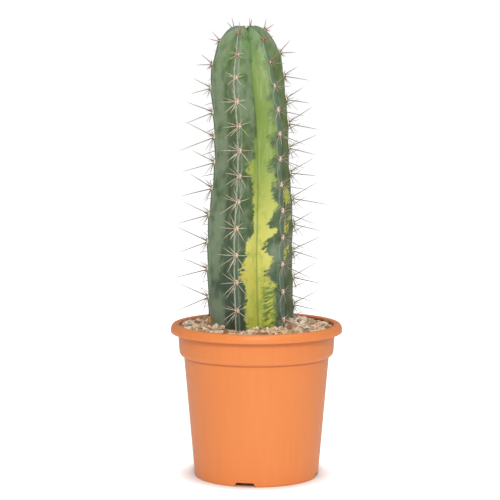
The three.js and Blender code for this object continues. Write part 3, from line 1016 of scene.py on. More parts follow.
@dataclass
class CactusStem:
    """The ribbed stem with its sunken valleys, swollen areole seats and fields for its skin."""

    form: StemForm
    steps_per_rib: int = 42
    shaft_rows: int = 236
    dome_rows: int = 96
    seat_swell: float = 0.7
    seat_notch: float = 0.4
    seat_width: float = 4.5
    crowding: float = 0.035
    top_of_lime: float = 421.0
    # Pairs of a height and the share of the slope that the lime covers there: towards the side rib
    # between its areoles and beside them, and towards the front rib.
    between: Knots = (
        (155, 0.66), (186, 0.7), (197, 0.46), (206, 0.4), (215, 0.5), (226, 0.28),
        (236, 0.42), (250, 0.42), (262, 0.56), (280, 0.6), (340, 0.6), (410, 0.68),
    )
    beside: Knots = (
        (155, 0.78), (190, 0.8), (214, 0.58), (235, 0.66), (260, 0.84), (300, 0.86), (345, 0.9), (380, 0.76),
    )
    strip: Knots = (
        (155, 0.6), (181, 0.6), (190, 0.62), (200, 0.7), (212, 0.72), (217, 0.62),
        (228, 0.64), (233, 0.6), (239, 0.46), (246, 0.14), (262, 0.24), (294, 0.3),
        (299, 0.36), (304, 0.66), (312, 0.62), (316, 0.3), (336, 0.2), (342, 0.0),
    )
    # Pairs of a middle height and a half height.
    gold_patches: Knots = ((280.0, 10.0), (248.5, 6.0), (222.5, 2.5))

    def grid(self) -> tuple[Array, ...]:
        """Gives the grid's rib numbers, places between crests, rest heights and rest radii.

        Places crowd a little at the crests. Rows on the dome follow a superellipse: height and radius are
        the angle's sine and cosine, raised to 2 over the power.

        Returns:
            Rib and place of each column, height (rows, 1) and radius (rows, 1) of each row.
        """
        form = self.form
        place = np.arange(self.steps_per_rib) / self.steps_per_rib
        place = place - self.crowding * np.sin(2 * np.pi * place) / (2 * np.pi)
        rib = np.repeat(np.arange(len(RIBS)), self.steps_per_rib)
        place = np.tile(place, len(RIBS))
        shaft = np.linspace(form.buried, form.dome_from, self.shaft_rows)
        angle = np.radians(np.linspace(0, 90, self.dome_rows + 2)[1:-1])
        bend = 2 / form.dome_power
        dome = form.dome_from + (form.top - form.dome_from) * np.sin(angle) ** bend
        height = np.concatenate([shaft, dome])
        radius = np.concatenate([form.shaft(shaft), form.upper_radius * np.cos(angle) ** bend])
        return rib, place, height[:, None], radius[:, None]

    def build(self, finish: Finish) -> Object:
        """Makes the stem with the fields that its skin reads.

        A point's reach is the crest's radius times the share between the ribs, plus the swelling under an
        areole. Valleys drop and the tip dips as the dome closes.

        Args:
            finish: Its skin.

        Returns:
            The new object.
        """
        form = self.form
        rib, place, height, radius = self.grid()
        azimuth, shoulders = (np.array([getattr(r, n) for r in RIBS]) for n in ("azimuth", "shoulder"))
        after = (rib + 1) % len(RIBS)
        gap = (azimuth[after] - azimuth[rib]) % 360
        turn = np.radians(azimuth[rib] + gap * place)[None, :]
        fullness = shoulders[rib] + (shoulders[after] - shoulders[rib]) * place
        share = form.rib_share(place, rib)[None, :]
        near = np.where(place < 0.5, rib, after)
        phase = self.phase(near, height)
        crest = np.minimum(place, 1 - place)[None, :] * np.radians(gap)[None, :] * radius
        swell = self.seats(phase) * bell(crest, 0.0, self.seat_width) * smooth(8, 22, radius)
        reach = radius * share * form.shoulder(fullness[None, :], height) + swell
        domed = smooth(form.dome_from, form.top, height)
        drop = form.valley_drop * domed * (1 - share) / (1 - form.valley)
        dip = form.tip_dip * bell(radius, 0.0, form.tip_dip_radius) * domed
        x = form.axis(height) + reach * np.sin(turn)
        points = np.stack([x, -reach * np.cos(turn), height - drop - dip], -1)
        tip = np.array([[form.axis(np.array(form.top)), 0.0, form.top - form.tip_dip]])
        foot = np.array([[form.axis(np.array(form.buried)), 0.0, form.buried]])
        surface = tubes(points[None], foot, tip)
        fields = self.fields(rib, place, height, radius, crest, phase, gap)
        surface.fields = {
            name: np.concatenate([(values + 0 * height * turn).ravel(), [values.min()] * 2])
            for name, values in fields.items()
        }
        return surface.build("cactus_stem", finish.make())

    def phase(self, near: Array, height: Array) -> Array:
        """Gives how far each point is from the areole below (0) to the next above (1).

        Args:
            near: Number of the rib nearest to each column.
            height: Height of each row.

        Returns:
            Array (rows, columns).
        """
        rows = []
        for rib in RIBS:
            seats = self.form.areoles(rib)
            step = seats[1] - seats[0]
            knots = np.concatenate([[seats[0] - 3 * step], seats, [seats[-1] + 3 * step]])
            marks = np.concatenate([[-3], np.arange(len(seats)), [len(seats) + 2]])
            rows.append(np.interp(height[:, 0], knots, marks))
        return np.mod(np.stack(rows, 1)[:, near], 1.0)

    def seats(self, phase: Array) -> Array:
        """Gives the crest's swelling under each areole and the slight notch above it.

        Two bells over the phase, which wraps round from 1 to 0.

        Args:
            phase: Place between the areoles below and above.

        Returns:
            Millimetres outwards.
        """
        below = bell((phase + 0.62) % 1, 0.5, 0.2)
        above = bell((phase + 0.3) % 1, 0.5, 0.12)
        return self.seat_swell * below - self.seat_notch * above

    def slopes(self, place: Array) -> tuple[Array, Array]:
        """Gives how far up from the valley each place lies towards the crest before and after it."""
        deep = self.form.valley_place
        return (deep - place) / deep, (place - deep) / (1 - deep)

    def fields(
        self, rib: Array, place: Array, height: Array, radius: Array, crest: Array, phase: Array, gap: Array
    ) -> dict[str, Array]:
        """Works out what the skin needs to know at each point.

        Args:
            rib: Number of the rib before each column.
            place: Place of each column from that crest, 0, to the next, 1.
            height: Rest height of each row.
            radius: Crest radius of each row.
            crest: Distance from the nearest crest line in millimetres.
            phase: Place between the areoles below and above.
            gap: Degrees between the crests around each column.

        Returns:
            Arrays (rows, columns) by attribute name.
        """
        deep = self.form.valley_place
        left, right = self.slopes(place)
        valley = np.where(right > 0, right * (1 - deep), left * deep) * np.radians(gap)
        sharp = rib == FRONT_RIB
        front = sharp & (place < 0.5) | (rib == FRONT_RIB - 1) & (place > 0.5)
        arch = np.sin(np.pi * phase) ** 0.8
        half = np.where(front[None, :], 1.7 + 0.5 * arch, 0.9 + 2.6 * arch) * smooth(0, 16, radius)
        face = np.radians(gap)[None, :] * radius
        lime = self.lime(rib, place, height, face, phase)
        gold = self.gold(rib, right, height)
        flank = np.where(rib == SIDE_RIB, smooth(-0.2, 0.6, right), 0.0)
        haze = np.where(rib == FAR_LEFT_RIB, 0.3, 0.0)
        haze = np.where(rib == LEFT_RIB, 0.24 * smooth(-0.4, 0.4, -right), haze)[None, :]
        stripe = np.where(sharp, bell(left, 0.3, 0.22), 0.0)[None, :]
        bloom = haze * (1 + 0.8 * smooth(290, 370, height))
        bloom = bloom + 0.34 * stripe * smooth(305, 365, height) * smooth(432, 410, height)
        cork = np.where(front, np.where(place < 0.5, 0.22, 1.0), 0.32)
        leafy = np.where(sharp, smooth(0.05, 0.4, right), 0.0)[None, :] * smooth(206, 188, height)
        return {
            "band": (crest - half) * np.where(front & (place > 0.5), 0.6, 1.0)[None, :],
            "valley": valley[None, :] * radius * self.form.valley + np.where(sharp, 0.0, 0.9)[None, :],
            "lime": np.maximum(lime, gold),
            "gold": np.maximum(gold, self.yellowing(rib, place, height)),
            "olive": 0.55 * flank[None, :] + 0 * height,
            "bloom": bloom,
            "leafy": leafy,
            "soft": 2.0 + 2.6 * smooth(270, 345, height) + 0 * crest,
            "teal": np.where(front, 0.45, 0.7)[None, :] + 0 * height,
            "cork": cork[None, :] * smooth(10, 24, radius),
        }

    def lime(self, rib: Array, place: Array, height: Array, face: Array, phase: Array) -> Array:
        """Gives how many millimetres inside the lime sector each point lies.

        The sector fills the valley between the front and the side rib. Towards the side rib its
        edge bulges just above each areole; towards the front rib it is a narrow strip that
        widens in ragged patches lower down. On each slope the millimetres are the share left to
        the edge, times the slope's part of the face, times the face's width.

        Args:
            rib: Number of the rib before each column.
            place: Place of each column from that crest, 0, to the next, 1.
            height: Rest height of each row.
            face: Width of the face between two crests.
            phase: Place between the areoles below and above.

        Returns:
            Array (rows, columns), below 0 outside the sector.
        """
        deep, z = self.form.valley_place, height[:, 0]
        low, high, back = (np.interp(z, *zip(*knots)) for knots in (self.between, self.beside, self.strip))
        bulge = bell((phase + 0.28) % 1, 0.5, 0.19)
        edge = low[:, None] + (high - low)[:, None] * bulge
        left, right = self.slopes(place)
        inside = np.where(
            (right > 0)[None, :],
            (edge - right[None, :]) * (1 - deep) * face,
            (back[:, None] - left[None, :]) * deep * face,
        )
        inside = np.minimum(inside, (self.top_of_lime - height) * 0.35)
        return np.where((rib == FRONT_RIB)[None, :], inside, OUTSIDE)

    def gold(self, rib: Array, right: Array, height: Array) -> Array:
        """Gives how far inside the gold patches beyond the side rib each point lies.

        In a patch the millimetres are the smaller of the distance to its sides and 0.6 of that to its ends.

        Args:
            rib: Number of the rib before each column.
            right: Share of the way from the valley to the next crest.
            height: Rest height of each row.

        Returns:
            Array (rows, columns), below 0 outside the patches.
        """
        across = (0.15 - np.abs(right - 0.36))[None, :] * 14
        best = np.full((len(height), len(right)), OUTSIDE)
        for middle, half in self.gold_patches:
            inside = np.minimum(across, (half - np.abs(height - middle)) * 0.6)
            best = np.maximum(best, inside)
        return np.where((rib == SIDE_RIB)[None, :], best, OUTSIDE)

    def yellowing(self, rib: Array, place: Array, height: Array) -> Array:
        """Gives the golden patches of the lime sector beside the front rib.

        Each of the two falls evenly from its middle, where it is 3 or 1.

        Args:
            rib: Number of the rib before each column.
            place: Place of each column from that crest, 0, to the next, 1.
            height: Rest height of each row.

        Returns:
            Array (rows, columns), below 0 outside the patches.
        """
        left = self.slopes(place)[0][None, :]
        low = 3.0 - np.hypot((left - 0.6) * 12, (height - 206) / 3.5)
        high = 1.0 - np.hypot((left - 0.5) * 10, (height - 306) / 3.5)
        return np.where((rib == FRONT_RIB)[None, :], np.maximum(low, high), OUTSIDE)

    def dress(self, stem: Object) -> None:
        """Ties the stem to the frame.

        Args:
            stem: The built piece.
        """
        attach(stem, BODY)
        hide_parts("cactus_stem")


# ---------------------------------------------------------------- spines and areoles


@dataclass(frozen=True)
class SpineKind:
    """One of an areole's spines: turn on the surface (0 right, 90 up), lift, length, foot radius."""

    turn: float
    lift: float
    length: float
    radius: float = 0.35


SPINES = (
    SpineKind(8, 22, 16.5),
    SpineKind(172, 22, 17.5),
    SpineKind(-42, 24, 20, 0.36),
    SpineKind(-138, 24, 20, 0.36),
    SpineKind(-92, 24, 13, 0.32),
    SpineKind(75, 66, 32, 0.48),
    SpineKind(-75, 75, 37, 0.52),
    SpineKind(150, 22, 15, 0.32),
    SpineKind(52, 20, 10, 0.3),
    SpineKind(122, 22, 8, 0.28),
    SpineKind(-118, 16, 12, 0.3),
)


@dataclass
class SpineRow:
    """The spines of one rib, tapered and slightly curved, following the CAD formulas."""

    form: StemForm
    rib: Rib
    number: int
    rings: int = 6
    sides: int = 5
    young_areoles: int = 4
    youngest: float = 0.34
    lowest: float = 150.5
    reach: float = 83.5

    def build(self, material: Material) -> Object:
        """Makes all the rib's spines as one object.

        A spine starts at its areole and runs its length along its way, plus a bend that grows with the
        square of the distance. Its radius falls with a power of the distance and flares at the foot.

        Args:
            material: The spines' material.

        Returns:
            The new object.
        """
        heights = self.form.areoles(self.rib)
        point, right, up, out = (a[:, None, :] for a in self.form.crest_frames(self.rib, heights))
        index = np.arange(self.rib.areoles)[:, None]
        mark, kind = self.number * 40 + index, np.arange(len(SPINES))[None, :]
        turn, lift, length, radius = (
            np.array([getattr(s, n) for s in SPINES])[None, :] for n in ("turn", "lift", "length", "radius")
        )
        grown = np.clip((self.rib.areoles - 1 - index) / self.young_areoles, 0, 1)
        turn = np.radians(turn + 9 * scatter(mark, kind))[..., None]
        lift = np.radians(lift + 5 * scatter(mark, kind + 20))[..., None]
        grown = self.youngest + (1 - self.youngest) * grown
        length = (length * grown * (1 + 0.18 * scatter(mark, kind + 40)))[..., None]
        flat = right * np.cos(turn) + up * np.sin(turn)
        way = flat * np.cos(lift) + out * np.sin(lift)
        fall = np.maximum(-way[..., 2:], 1e-6)
        room = np.where(way[..., 2:] < 0, (point[..., 2:] - self.lowest) / fall, 99)
        aside = (self.reach - point * np.sign(way)) / np.maximum(np.abs(way), 1e-6)
        room = np.minimum(room, aside[..., :2].min(-1, keepdims=True))
        length = np.minimum(length, np.maximum(room, 1.0))
        bend = (0.09 * scatter(mark, kind + 60))[..., None] * np.cross(way, out) - 0.05 * out
        foot = point + out * 0.3 + flat * 0.7
        t = np.linspace(0, 1, self.rings + 1)[:-1] ** 0.9
        line = foot[..., None, :] + length[..., None] * (
            way[..., None, :] * t[:, None] + bend[..., None, :] * (t * t)[:, None]
        )
        tip = foot + length * (way + bend)
        guide = np.where(np.abs(way[..., 2:]) > 0.8, [1.0, 0, 0], [0, 0, 1.0])
        circle = hoops(way, guide, np.linspace(0, 2 * np.pi, self.sides, endpoint=False))
        slim = (radius[..., None] + 0 * length) * (1 - 0.8 * t**1.8) * (1 + 0.35 * np.exp(-t / 0.05))
        rings = line[..., None, :] + circle[:, :, None] * slim[..., None, None]
        count = rings.shape[0] * rings.shape[1]
        flatten = (count, self.rings, self.sides, 3)
        surface = tubes(rings.reshape(flatten), foot.reshape(-1, 3), tip.reshape(-1, 3))
        surface.fields = self.fields(t, mark, kind, index, count)
        return surface.build(f"spines_{self.number}", material)

    def fields(self, t: Array, mark: Array, kind: Array, index: Array, count: int) -> dict[str, Array]:
        """Gives each point's place along its spine, and each spine's age and youth.

        Args:
            t: Place of each ring along its spine.
            mark: Number for each areole's scatter.
            kind: Number of each kind of spine.
            index: Number of each areole from the lowest.
            count: Number of spines.

        Returns:
            Arrays by attribute name.
        """
        along = np.concatenate([np.repeat(t, self.sides), [0.0, 1.0]])
        weather = 0.12 if self.number == FRONT_RIB + 1 else 0.66
        aged = np.clip(weather + 0.25 * scatter(mark, kind + 80) + self.outstanding(kind), 0, 0.95)
        young = np.clip(1 - (self.rib.areoles - 1 - index) / 2.0, 0, 1) + 0 * kind
        return {
            "along": np.tile(along, count),
            "aged": np.repeat(aged.ravel(), len(along)),
            "young": np.repeat(young.ravel() * 0.6, len(along)),
        }

    def outstanding(self, kind: Array) -> Array:
        """Gives the extra weathering of the spines that stand out from the crest."""
        lifts = np.array([s.lift for s in SPINES])[kind]
        return np.where(lifts > 60, 0.0 if self.number == FRONT_RIB + 1 else 0.2, 0.0)

    def dress(self, row: Object) -> None:
        """Ties the row to the frame.

        Args:
            row: The built piece.
        """
        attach(row, BODY)
        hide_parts(f"spine_row_{self.number}")


@dataclass
class Areoles:
    """The felt cushions on the crests, each with a fringe of short wool."""

    form: StemForm
    width: float = 2.4
    height: float = 2.8
    thickness: float = 1.6
    columns: int = 14
    rows: int = 7
    hairs: int = 34
    hair_length: float = 1.5
    young_loss: float = 0.45

    def build(self, material: Material) -> Object:
        """Makes every cushion and its wool as one object.

        Args:
            material: The felt.

        Returns:
            The new object.
        """
        frames = [self.form.crest_frames(rib, self.form.areoles(rib)) for rib in RIBS]
        point, right, up, out = (np.concatenate([f[i] for f in frames]) for i in range(4))
        from_tip = np.concatenate([r.areoles - 1 - np.arange(r.areoles) for r in RIBS])
        young = 1 - self.young_loss * np.clip((3 - from_tip) / 3, 0, 1)
        cushions = self.cushions(point, right, up, out, young)
        wool = self.wool(point, right, up, out, young)
        return Surface.joined([cushions, wool]).build("areole_felt", material)

    def cushions(self, point: Array, right: Array, up: Array, out: Array, scale: Array) -> Surface:
        """Gives the cushions: flattened domes, a little lumpy.

        A dome's point is the width, height and thickness times the cosines and sine of its two angles.

        Args:
            point: Middles (n, 3) of the areoles.
            right: Directions across the rib.
            up: Directions along the crest.
            out: Directions away from the skin.
            scale: Size of each areole, 1 when it is grown.

        Returns:
            The surface, whose field grows from the middle outwards.
        """
        count = len(point)
        rise = np.radians(np.linspace(-60, 84, self.rows))[None, :, None]
        around = np.radians(np.linspace(0, 360, self.columns, endpoint=False))[None, None, :]
        seed = np.arange(count)[:, None, None]
        lump = 1 + 0.12 * scatter(seed, np.round(around * 9) + np.round(rise * 5))
        x = self.width * np.cos(rise) * np.cos(around) * lump
        y = self.height * np.cos(rise) * np.sin(around) * lump
        z = self.thickness * np.sin(rise) * lump + 0 * around
        local = np.stack([x, y, z], -1) * scale[:, None, None, None]
        axes = np.stack([right, up, out], 1)
        rings = point[:, None, None, :] + np.einsum("nrck,nkj->nrcj", local, axes)
        depth = self.thickness * scale[:, None]
        made = tubes(rings, point - out * depth, point + out * depth * 0.92)
        heart = np.hypot(x / self.width, y / self.height)
        poles = np.tile([[1.0, 0.0]], (count, 1))
        made.fields = {"heart": np.concatenate([heart.reshape(count, -1), poles], 1).ravel()}
        return made

    def wool(self, point: Array, right: Array, up: Array, out: Array, scale: Array) -> Surface:
        """Gives the fringe: fine three-sided hairs around each cushion.

        A hair leaves the cushion's edge at its own turn, leans outwards by its own lift and ends in a
        point.

        Args:
            point: Middles (n, 3) of the areoles.
            right: Directions across the rib.
            up: Directions along the crest.
            out: Directions away from the skin.
            scale: Size of each areole, 1 when it is grown.

        Returns:
            The surface.
        """
        count = len(point)
        seed, hair = np.arange(count)[:, None], np.arange(self.hairs)[None, :]
        turn = 2 * np.pi * (hair / self.hairs + 0.04 * scatter(seed, hair))[..., None]
        lift = np.radians(35 + 28 * scatter(seed, hair + 50))[..., None]
        flat = right[:, None] * np.cos(turn) * self.width + up[:, None] * np.sin(turn) * self.height
        foot = point[:, None] + (flat * 0.72 + out[:, None] * self.thickness * 0.45) * scale[:, None, None]
        flat = flat / np.linalg.norm(flat, axis=-1, keepdims=True)
        way = flat * np.cos(lift) + out[:, None] * np.sin(lift)
        length = self.hair_length * (1 + 0.4 * scatter(seed, hair + 90))[..., None] * scale[:, None, None]
        circle = hoops(way, flat + out[:, None] * 0.5, np.radians([0, 120, 240]))
        slim = np.array([0.13, 0.08])
        line = foot[..., None, :] + (way * length)[..., None, :] * np.array([0.0, 0.6])[:, None]
        rings = line[..., None, :] + circle[:, :, None] * slim[:, None, None]
        size = count * self.hairs
        tip = (foot + way * length).reshape(-1, 3)
        made = tubes(rings.reshape(size, 2, 3, 3), foot.reshape(-1, 3), tip)
        made.fields = {"heart": np.full(len(made.points), 0.9)}
        return made

    def dress(self, felt: Object) -> None:
        """Ties the felt to the frame."""
        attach(felt, BODY)


# ---------------------------------------------------------------- filling and flake


@dataclass
class GravelBed:
    """The top dressing: angular chips in two loose layers over a bed painted dark as shade, heaped at the
    stem.
    """

    form: StemForm
    wall_radius: float = 76.0
    at_wall: float = 147.4
    wall_tilt: float = 1.3
    dip: float = 3.8
    dip_turn: float = -0.62
    layers: tuple[tuple[int, float, float], ...] = ((620, -2.2, 3.6), (520, 0.2, 3.3), (210, 2.0, 2.7))
    bed_foot: float = 137.0
    bed_middle: float = 146.0
    bed_sink: float = 3.6
    innermost: float = 27.0
    jitter: float = 1.6
    squareness: float = 0.62
    tumble: float = 0.42
    # Painted shade of each layer, from the lowest up.
    layer_painted_shade: tuple[float, ...] = (0.5, 0.05, 0.0)
    columns: int = 8
    rows: int = 4
    seed: int = 11

    def peak(self, turn: Array) -> Array:
        """Gives the bed's height at the stem: lowest at the front, highest behind."""
        return 151.4 - 1.9 * np.cos(turn - math.radians(-25)) - 0.6 * np.cos(2 * turn)

    def stem_radius(self, x: Array, y: Array) -> Array:
        """Gives the stem's radius at the gravel in the direction of each point.

        Args:
            x: X of the points.
            y: Y of the points.

        Returns:
            Radii from the stem's axis.
        """
        turn = np.degrees(np.arctan2(x - self.form.axis(np.array(150.0)), -y))
        edges = np.array([r.azimuth for r in RIBS] + [RIBS[0].azimuth + 360.0])
        turn = (turn - edges[0]) % 360 + edges[0]
        rib = np.clip(np.searchsorted(edges, turn, "right") - 1, 0, len(RIBS) - 1)
        place = (turn - edges[rib]) / (edges[rib + 1] - edges[rib])
        return self.form.lower_radius * self.form.rib_share(place, rib)

    def height(self, x: Array, y: Array) -> Array:
        """Gives the bed's height at points of the plan.

        The height rises smoothly from the wall's to the stem's, less a bell-shaped dip at the left.

        Args:
            x: X of the points.
            y: Y of the points.

        Returns:
            Heights.
        """
        radius, turn = np.hypot(x, y), np.arctan2(x, -y)
        rise = 1 - smooth(36, self.wall_radius, radius)
        wall = self.at_wall + self.wall_tilt * np.cos(turn + math.radians(60))
        dip = np.exp(-(((turn - self.dip_turn) / 0.55) ** 2) - ((radius - 46) / 11) ** 2)
        return wall + (self.peak(turn) - wall) * rise - self.dip * dip

    def bed(self) -> Surface:
        """Gives the dark bed under the chips: a sheet of painted shade that shows in the gaps.

        Returns:
            The surface, closed below, with the chips' fields.
        """
        radius = np.linspace(self.wall_radius, 20, 18)[:, None]
        turn = np.radians(np.linspace(0, 360, 96, endpoint=False))[None, :]
        x, y = radius * np.sin(turn), -radius * np.cos(turn)
        lump = 0.6 * scatter(np.round(x * 2), np.round(y * 2))
        top = np.stack([x, y, self.height(x, y) - self.bed_sink + lump], -1)
        skirt = top[:1] * [1, 1, 0] + [0, 0, self.bed_foot]
        rings = np.concatenate([skirt, top])
        poles = [np.array([[0.0, 0.0, h]]) for h in (self.bed_foot, self.bed_middle)]
        made = tubes(rings[None], poles[0], poles[1])
        # The bed is painted full shade.
        made.fields = {"chip": np.full(len(made.points), 0.05), "depth": np.full(len(made.points), 1.0)}
        return made

    def chips(self) -> Surface:
        """Gives the chips: boxy pebbles with knocked corners, no two alike.

        Chips are laid at the golden angle, evenly by area, and jittered. Each is a ball whose coordinates
        are raised to a power under 1, which squares it, then stretched, sheared and turned by chance.

        Returns:
            The surface, whose fields tell each chip's tone and its painted shade, which grows the deeper its
            layer lies.
        """
        random = np.random.default_rng(self.seed)
        layer = np.repeat(np.arange(len(self.layers)), [n for n, _, _ in self.layers])
        along = np.concatenate([(np.arange(n) + 0.5) / n for n, _, _ in self.layers])
        count = len(layer)
        least, most = self.innermost**2, (self.wall_radius - 1.4) ** 2
        radius = np.sqrt(least + most * along - least * along)
        turn = np.arange(count) * math.pi * (3 - math.sqrt(5)) + layer
        x = radius * np.sin(turn) + random.uniform(-self.jitter, self.jitter, count)
        y = -radius * np.cos(turn) + random.uniform(-self.jitter, self.jitter, count)
        lift = np.array([a for _, a, _ in self.layers])[layer]
        size = np.array([s for _, _, s in self.layers])[layer] * random.uniform(0.72, 1.3, count)
        z = self.height(x, y) + lift + random.uniform(-0.6, 0.6, count)
        centre = np.hypot(x - self.form.axis(np.array(150.0)), y)
        keep = centre > self.stem_radius(x, y) + 0.3
        keep &= np.hypot(x, y) + 0.7 * size < self.wall_radius + 0.8
        x, y, z, size, layer = x[keep], y[keep], z[keep], size[keep], layer[keep]
        count = len(x)

        rise = np.radians(np.linspace(-54, 54, self.rows))[:, None]
        around = np.radians(np.linspace(0, 360, self.columns, endpoint=False))[None, :]
        flat, upright = np.cos(rise), np.sin(rise) + 0 * around
        ball = np.stack([flat * np.cos(around), flat * np.sin(around), upright], -1)
        ball = np.concatenate([ball.reshape(-1, 3), [[0, 0, -1.0], [0, 0, 1.0]]])
        boxy = np.sign(ball) * np.abs(ball) ** self.squareness
        shape = boxy[None] * (1 + random.uniform(-0.2, 0.2, (count, len(boxy), 1)))
        stretch = random.uniform([0.85, 0.65, 0.5], [1.3, 1.0, 0.8], (count, 3))
        shape *= size[:, None, None] * stretch[:, None]
        shape[..., 0] += shape[..., 2] * random.uniform(-0.5, 0.5, (count, 1))
        spin = random.uniform(0, 2 * np.pi, count)
        tilt, lean = random.normal(0, self.tumble, count), random.normal(0, self.tumble, count)
        shape = self.turned(self.turned(self.turned(shape, tilt, 1, 2), lean, 0, 2), spin, 0, 1)
        points = shape + np.stack([x, y, z], -1)[:, None]
        body = points[:, :-2].reshape(count, self.rows, self.columns, 3)
        made = tubes(body, points[:, -2], points[:, -1])
        made.fields = {
            "chip": np.repeat(random.uniform(0, 1, count), len(boxy)),
            "depth": np.repeat(np.array(self.layer_painted_shade)[layer], len(boxy)),
        }
        return made

    def turned(self, shape: Array, angle: Array, first: int, second: int) -> Array:
        """Turns every chip by its own angle in the plane of two axes.

        Args:
            shape: Array (chips, points, 3).
            angle: Angle of each chip.
            first: Number of the first axis.
            second: Number of the second axis.

        Returns:
            The turned chips.
        """
        c, s = np.cos(angle)[:, None], np.sin(angle)[:, None]
        made = shape.copy()
        made[..., first] = shape[..., first] * c - shape[..., second] * s
        made[..., second] = shape[..., first] * s + shape[..., second] * c
        return made

    def build(self, finish: Finish) -> Object:
        """Makes the bed and its chips as one object."""
        return Surface.joined([self.bed(), self.chips()]).build("gravel_chips", finish.make(), False)

    def dress(self, bed: Object) -> None:
        """Ties the gravel to the frame.

        Args:
            bed: The built piece.
        """
        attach(bed, BODY)
        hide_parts("gravel")


@dataclass
class DryFlake:
    """A curled sliver of dry skin that stands at the left of the stem's foot."""

    azimuth: float = -68.0
    radius: float = 45.5
    turn: float = 45.0
    foot: float = 147.0
    height: float = 16.0
    width: float = 6.4
    thickness: float = 0.7
    rows: int = 24
    columns: int = 22

    def build(self, finish: Finish) -> Object:
        """Makes the flake: a bent leaf whose width tapers to a torn tip.

        The half-width falls with a power of the height and waves a little; the leaf curls with the square
        of the distance across it and of its height.

        Args:
            finish: Its dry skin.

        Returns:
            The new object.
        """
        t = np.linspace(0, 1, self.rows)[:, None]
        around = np.radians(np.linspace(0, 360, self.columns, endpoint=False))[None, :]
        half = self.width / 2 * (1 - 0.75 * t**1.6) * (1 + 0.1 * np.sin(9 * t) + 0.07 * np.sin(23 * t))
        across = half * np.cos(around)
        deep = self.thickness / 2 * np.sin(around) + 0.11 * across**2 + 1.6 * t**2 + 0.25 * np.sin(14 * t)
        up = self.foot + self.height * t + 0.8 * np.sin(around * 3) * t**6
        at, turn = math.radians(self.azimuth), math.radians(self.azimuth + self.turn)
        x = self.radius * math.sin(at) + deep * math.sin(turn) + across * math.cos(turn) - 3.6
        y = -self.radius * math.cos(at) - deep * math.cos(turn) + across * math.sin(turn)
        rings = np.stack([x, y, up + 0 * across], -1)
        made = tubes(rings[None], rings[0].mean(0)[None], rings[-1].mean(0)[None])
        # Darker at both edges and the tip: partly torn skin, partly painted shade.
        torn_and_shade = np.maximum(np.abs(np.cos(around)) ** 6 + 0 * t, smooth(0.75, 1.0, t) + 0 * around)
        made.fields = {"torn_and_shade": np.concatenate([torn_and_shade.ravel(), [0.0, 1.0]])}
        return made.build("dry_flake_leaf", finish.make())

    def dress(self, leaf: Object) -> None:
        """Ties the flake to the frame.

        Args:
            leaf: The built piece.
        """
        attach(leaf, BODY)
        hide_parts("dry_flake")


# ---------------------------------------------------------------- studio


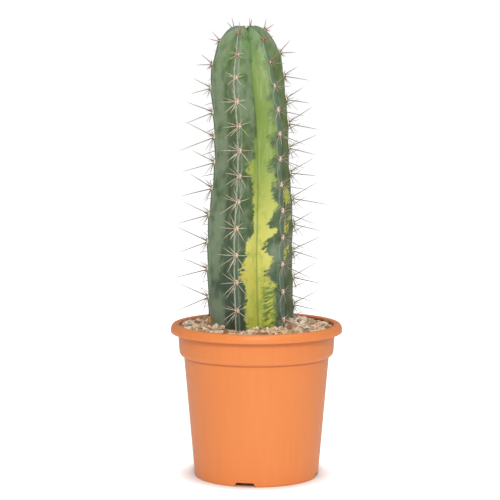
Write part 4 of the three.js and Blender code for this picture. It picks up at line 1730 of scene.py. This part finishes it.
@dataclass
class Studio:
    """Plain pale floor, soft light from the front and above, and the camera."""

    eye: Vector3 = (-0.0064, -1.803, 0.408)
    down: float = 5.8
    view_angle: float = 15.53
    sensor_width: float = 36.0
    floor_half: float = 6000.0
    aim_height: float = 0.22
    sky: float = 0.36
    backdrop: float = 1.0
    key: float = 38.0
    top: float = 14.5

    def build(self) -> None:
        """Makes the floor, the lights, the sky and the camera."""
        corners = np.array([[-1, -1], [1, -1], [1, 1], [-1, 1]]) * self.floor_half
        plane = Surface(np.column_stack([corners, np.zeros(4)]), np.array([[0, 1, 2, 3]]))
        floor = plane.build("studio_floor", MattPaper("Matt_Paper", 0.9, 1.45).make())
        self.softbox("key_light", (0.0, -2.4, 1.5), 0.75, self.key, (1.0, 0.99, 0.975))
        self.softbox("top_light", (0.3, -0.3, 2.2), 1.6, self.top, (1.0, 1.0, 1.0))
        world = bpy.data.worlds.new("studio_sky")
        world.use_nodes = True
        tree = world.node_tree
        tree.nodes.clear()
        seen = add(tree, "LightPath").outputs["Is Camera Ray"]
        strength = add(tree, "MapRange", {"Value": seen, "To Min": self.sky, "To Max": self.backdrop})
        sky = add(tree, "Background", {"Color": WHITE, "Strength": strength})
        add(tree, "OutputWorld", {"Surface": sky})
        scene = bpy.context.scene
        scene.world = world
        scene.view_settings.view_transform = "Standard"
        scene.camera = self.camera()

    def softbox(self, name: str, at: Vector3, size: float, power: float, tint: Vector3) -> None:
        """Adds one square soft light that faces the object's middle.

        Args:
            name: Name of the light.
            at: Its place in metres.
            size: Its side in metres.
            power: Its power in watts.
            tint: Its colour.
        """
        light = bpy.data.lights.new(name, "AREA")
        light.size, light.energy, light.color = size, power, tint
        lamp = bpy.data.objects.new(name, light)
        bpy.context.scene.collection.objects.link(lamp)
        lamp.location = at
        away = lamp.location.copy()
        away.z -= self.aim_height
        lamp.rotation_euler = away.to_track_quat("Z", "Y").to_euler()

    def camera(self) -> Object:
        """Makes the camera: a long lens in front, a little above the gravel's level.

        The focal length is half the sensor's width over the tangent of half the angle of view.

        Returns:
            The camera.
        """
        lens = bpy.data.cameras.new("camera")
        lens.sensor_width = self.sensor_width
        lens.lens = self.sensor_width / 2 / math.tan(math.radians(self.view_angle / 2))
        made = bpy.data.objects.new("camera", lens)
        bpy.context.scene.collection.objects.link(made)
        made.location = self.eye
        made.rotation_euler = (math.radians(90 - self.down), 0.0, 0.0)
        return made


def main() -> None:
    """Builds every sub-assembly in order and reports it."""
    logging.basicConfig(level=logging.INFO, format="%(message)s")
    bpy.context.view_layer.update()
    form = StemForm()
    pot = NurseryPot()
    pot.dress(pot.build(MouldedPolypropylene("Moulded_Polypropylene", 0.42, 1.49)))
    log.info("pot built")

    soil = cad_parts["potting_soil"]
    soil.data.materials.clear()
    soil.data.materials.append(DarkPottingSoil("Dark_Potting_Soil", 0.95, 1.4).make())
    gravel = GravelBed(form)
    gravel.dress(gravel.build(CrushedStone("Crushed_Stone", 0.85, 1.55)))
    log.info("filling built")

    stem = CactusStem(form)
    stem.dress(stem.build(VariegatedSkin("Variegated_Skin", 0.48, 1.42)))
    horn = Spine("Horny_Spine", 0.5, 1.53).make()
    for number, rib in enumerate(RIBS, 1):
        row = SpineRow(form, rib, number)
        row.dress(row.build(horn))
    felt = Areoles(form)
    felt.dress(felt.build(ArealFelt("Areole_Felt", 0.95, 1.4).make()))
    flake = DryFlake()
    flake.dress(flake.build(DrySkin("Dry_Skin", 0.8, 1.45)))
    log.info("plant built")

    Studio().build()


if __name__ == "__main__":
    main()
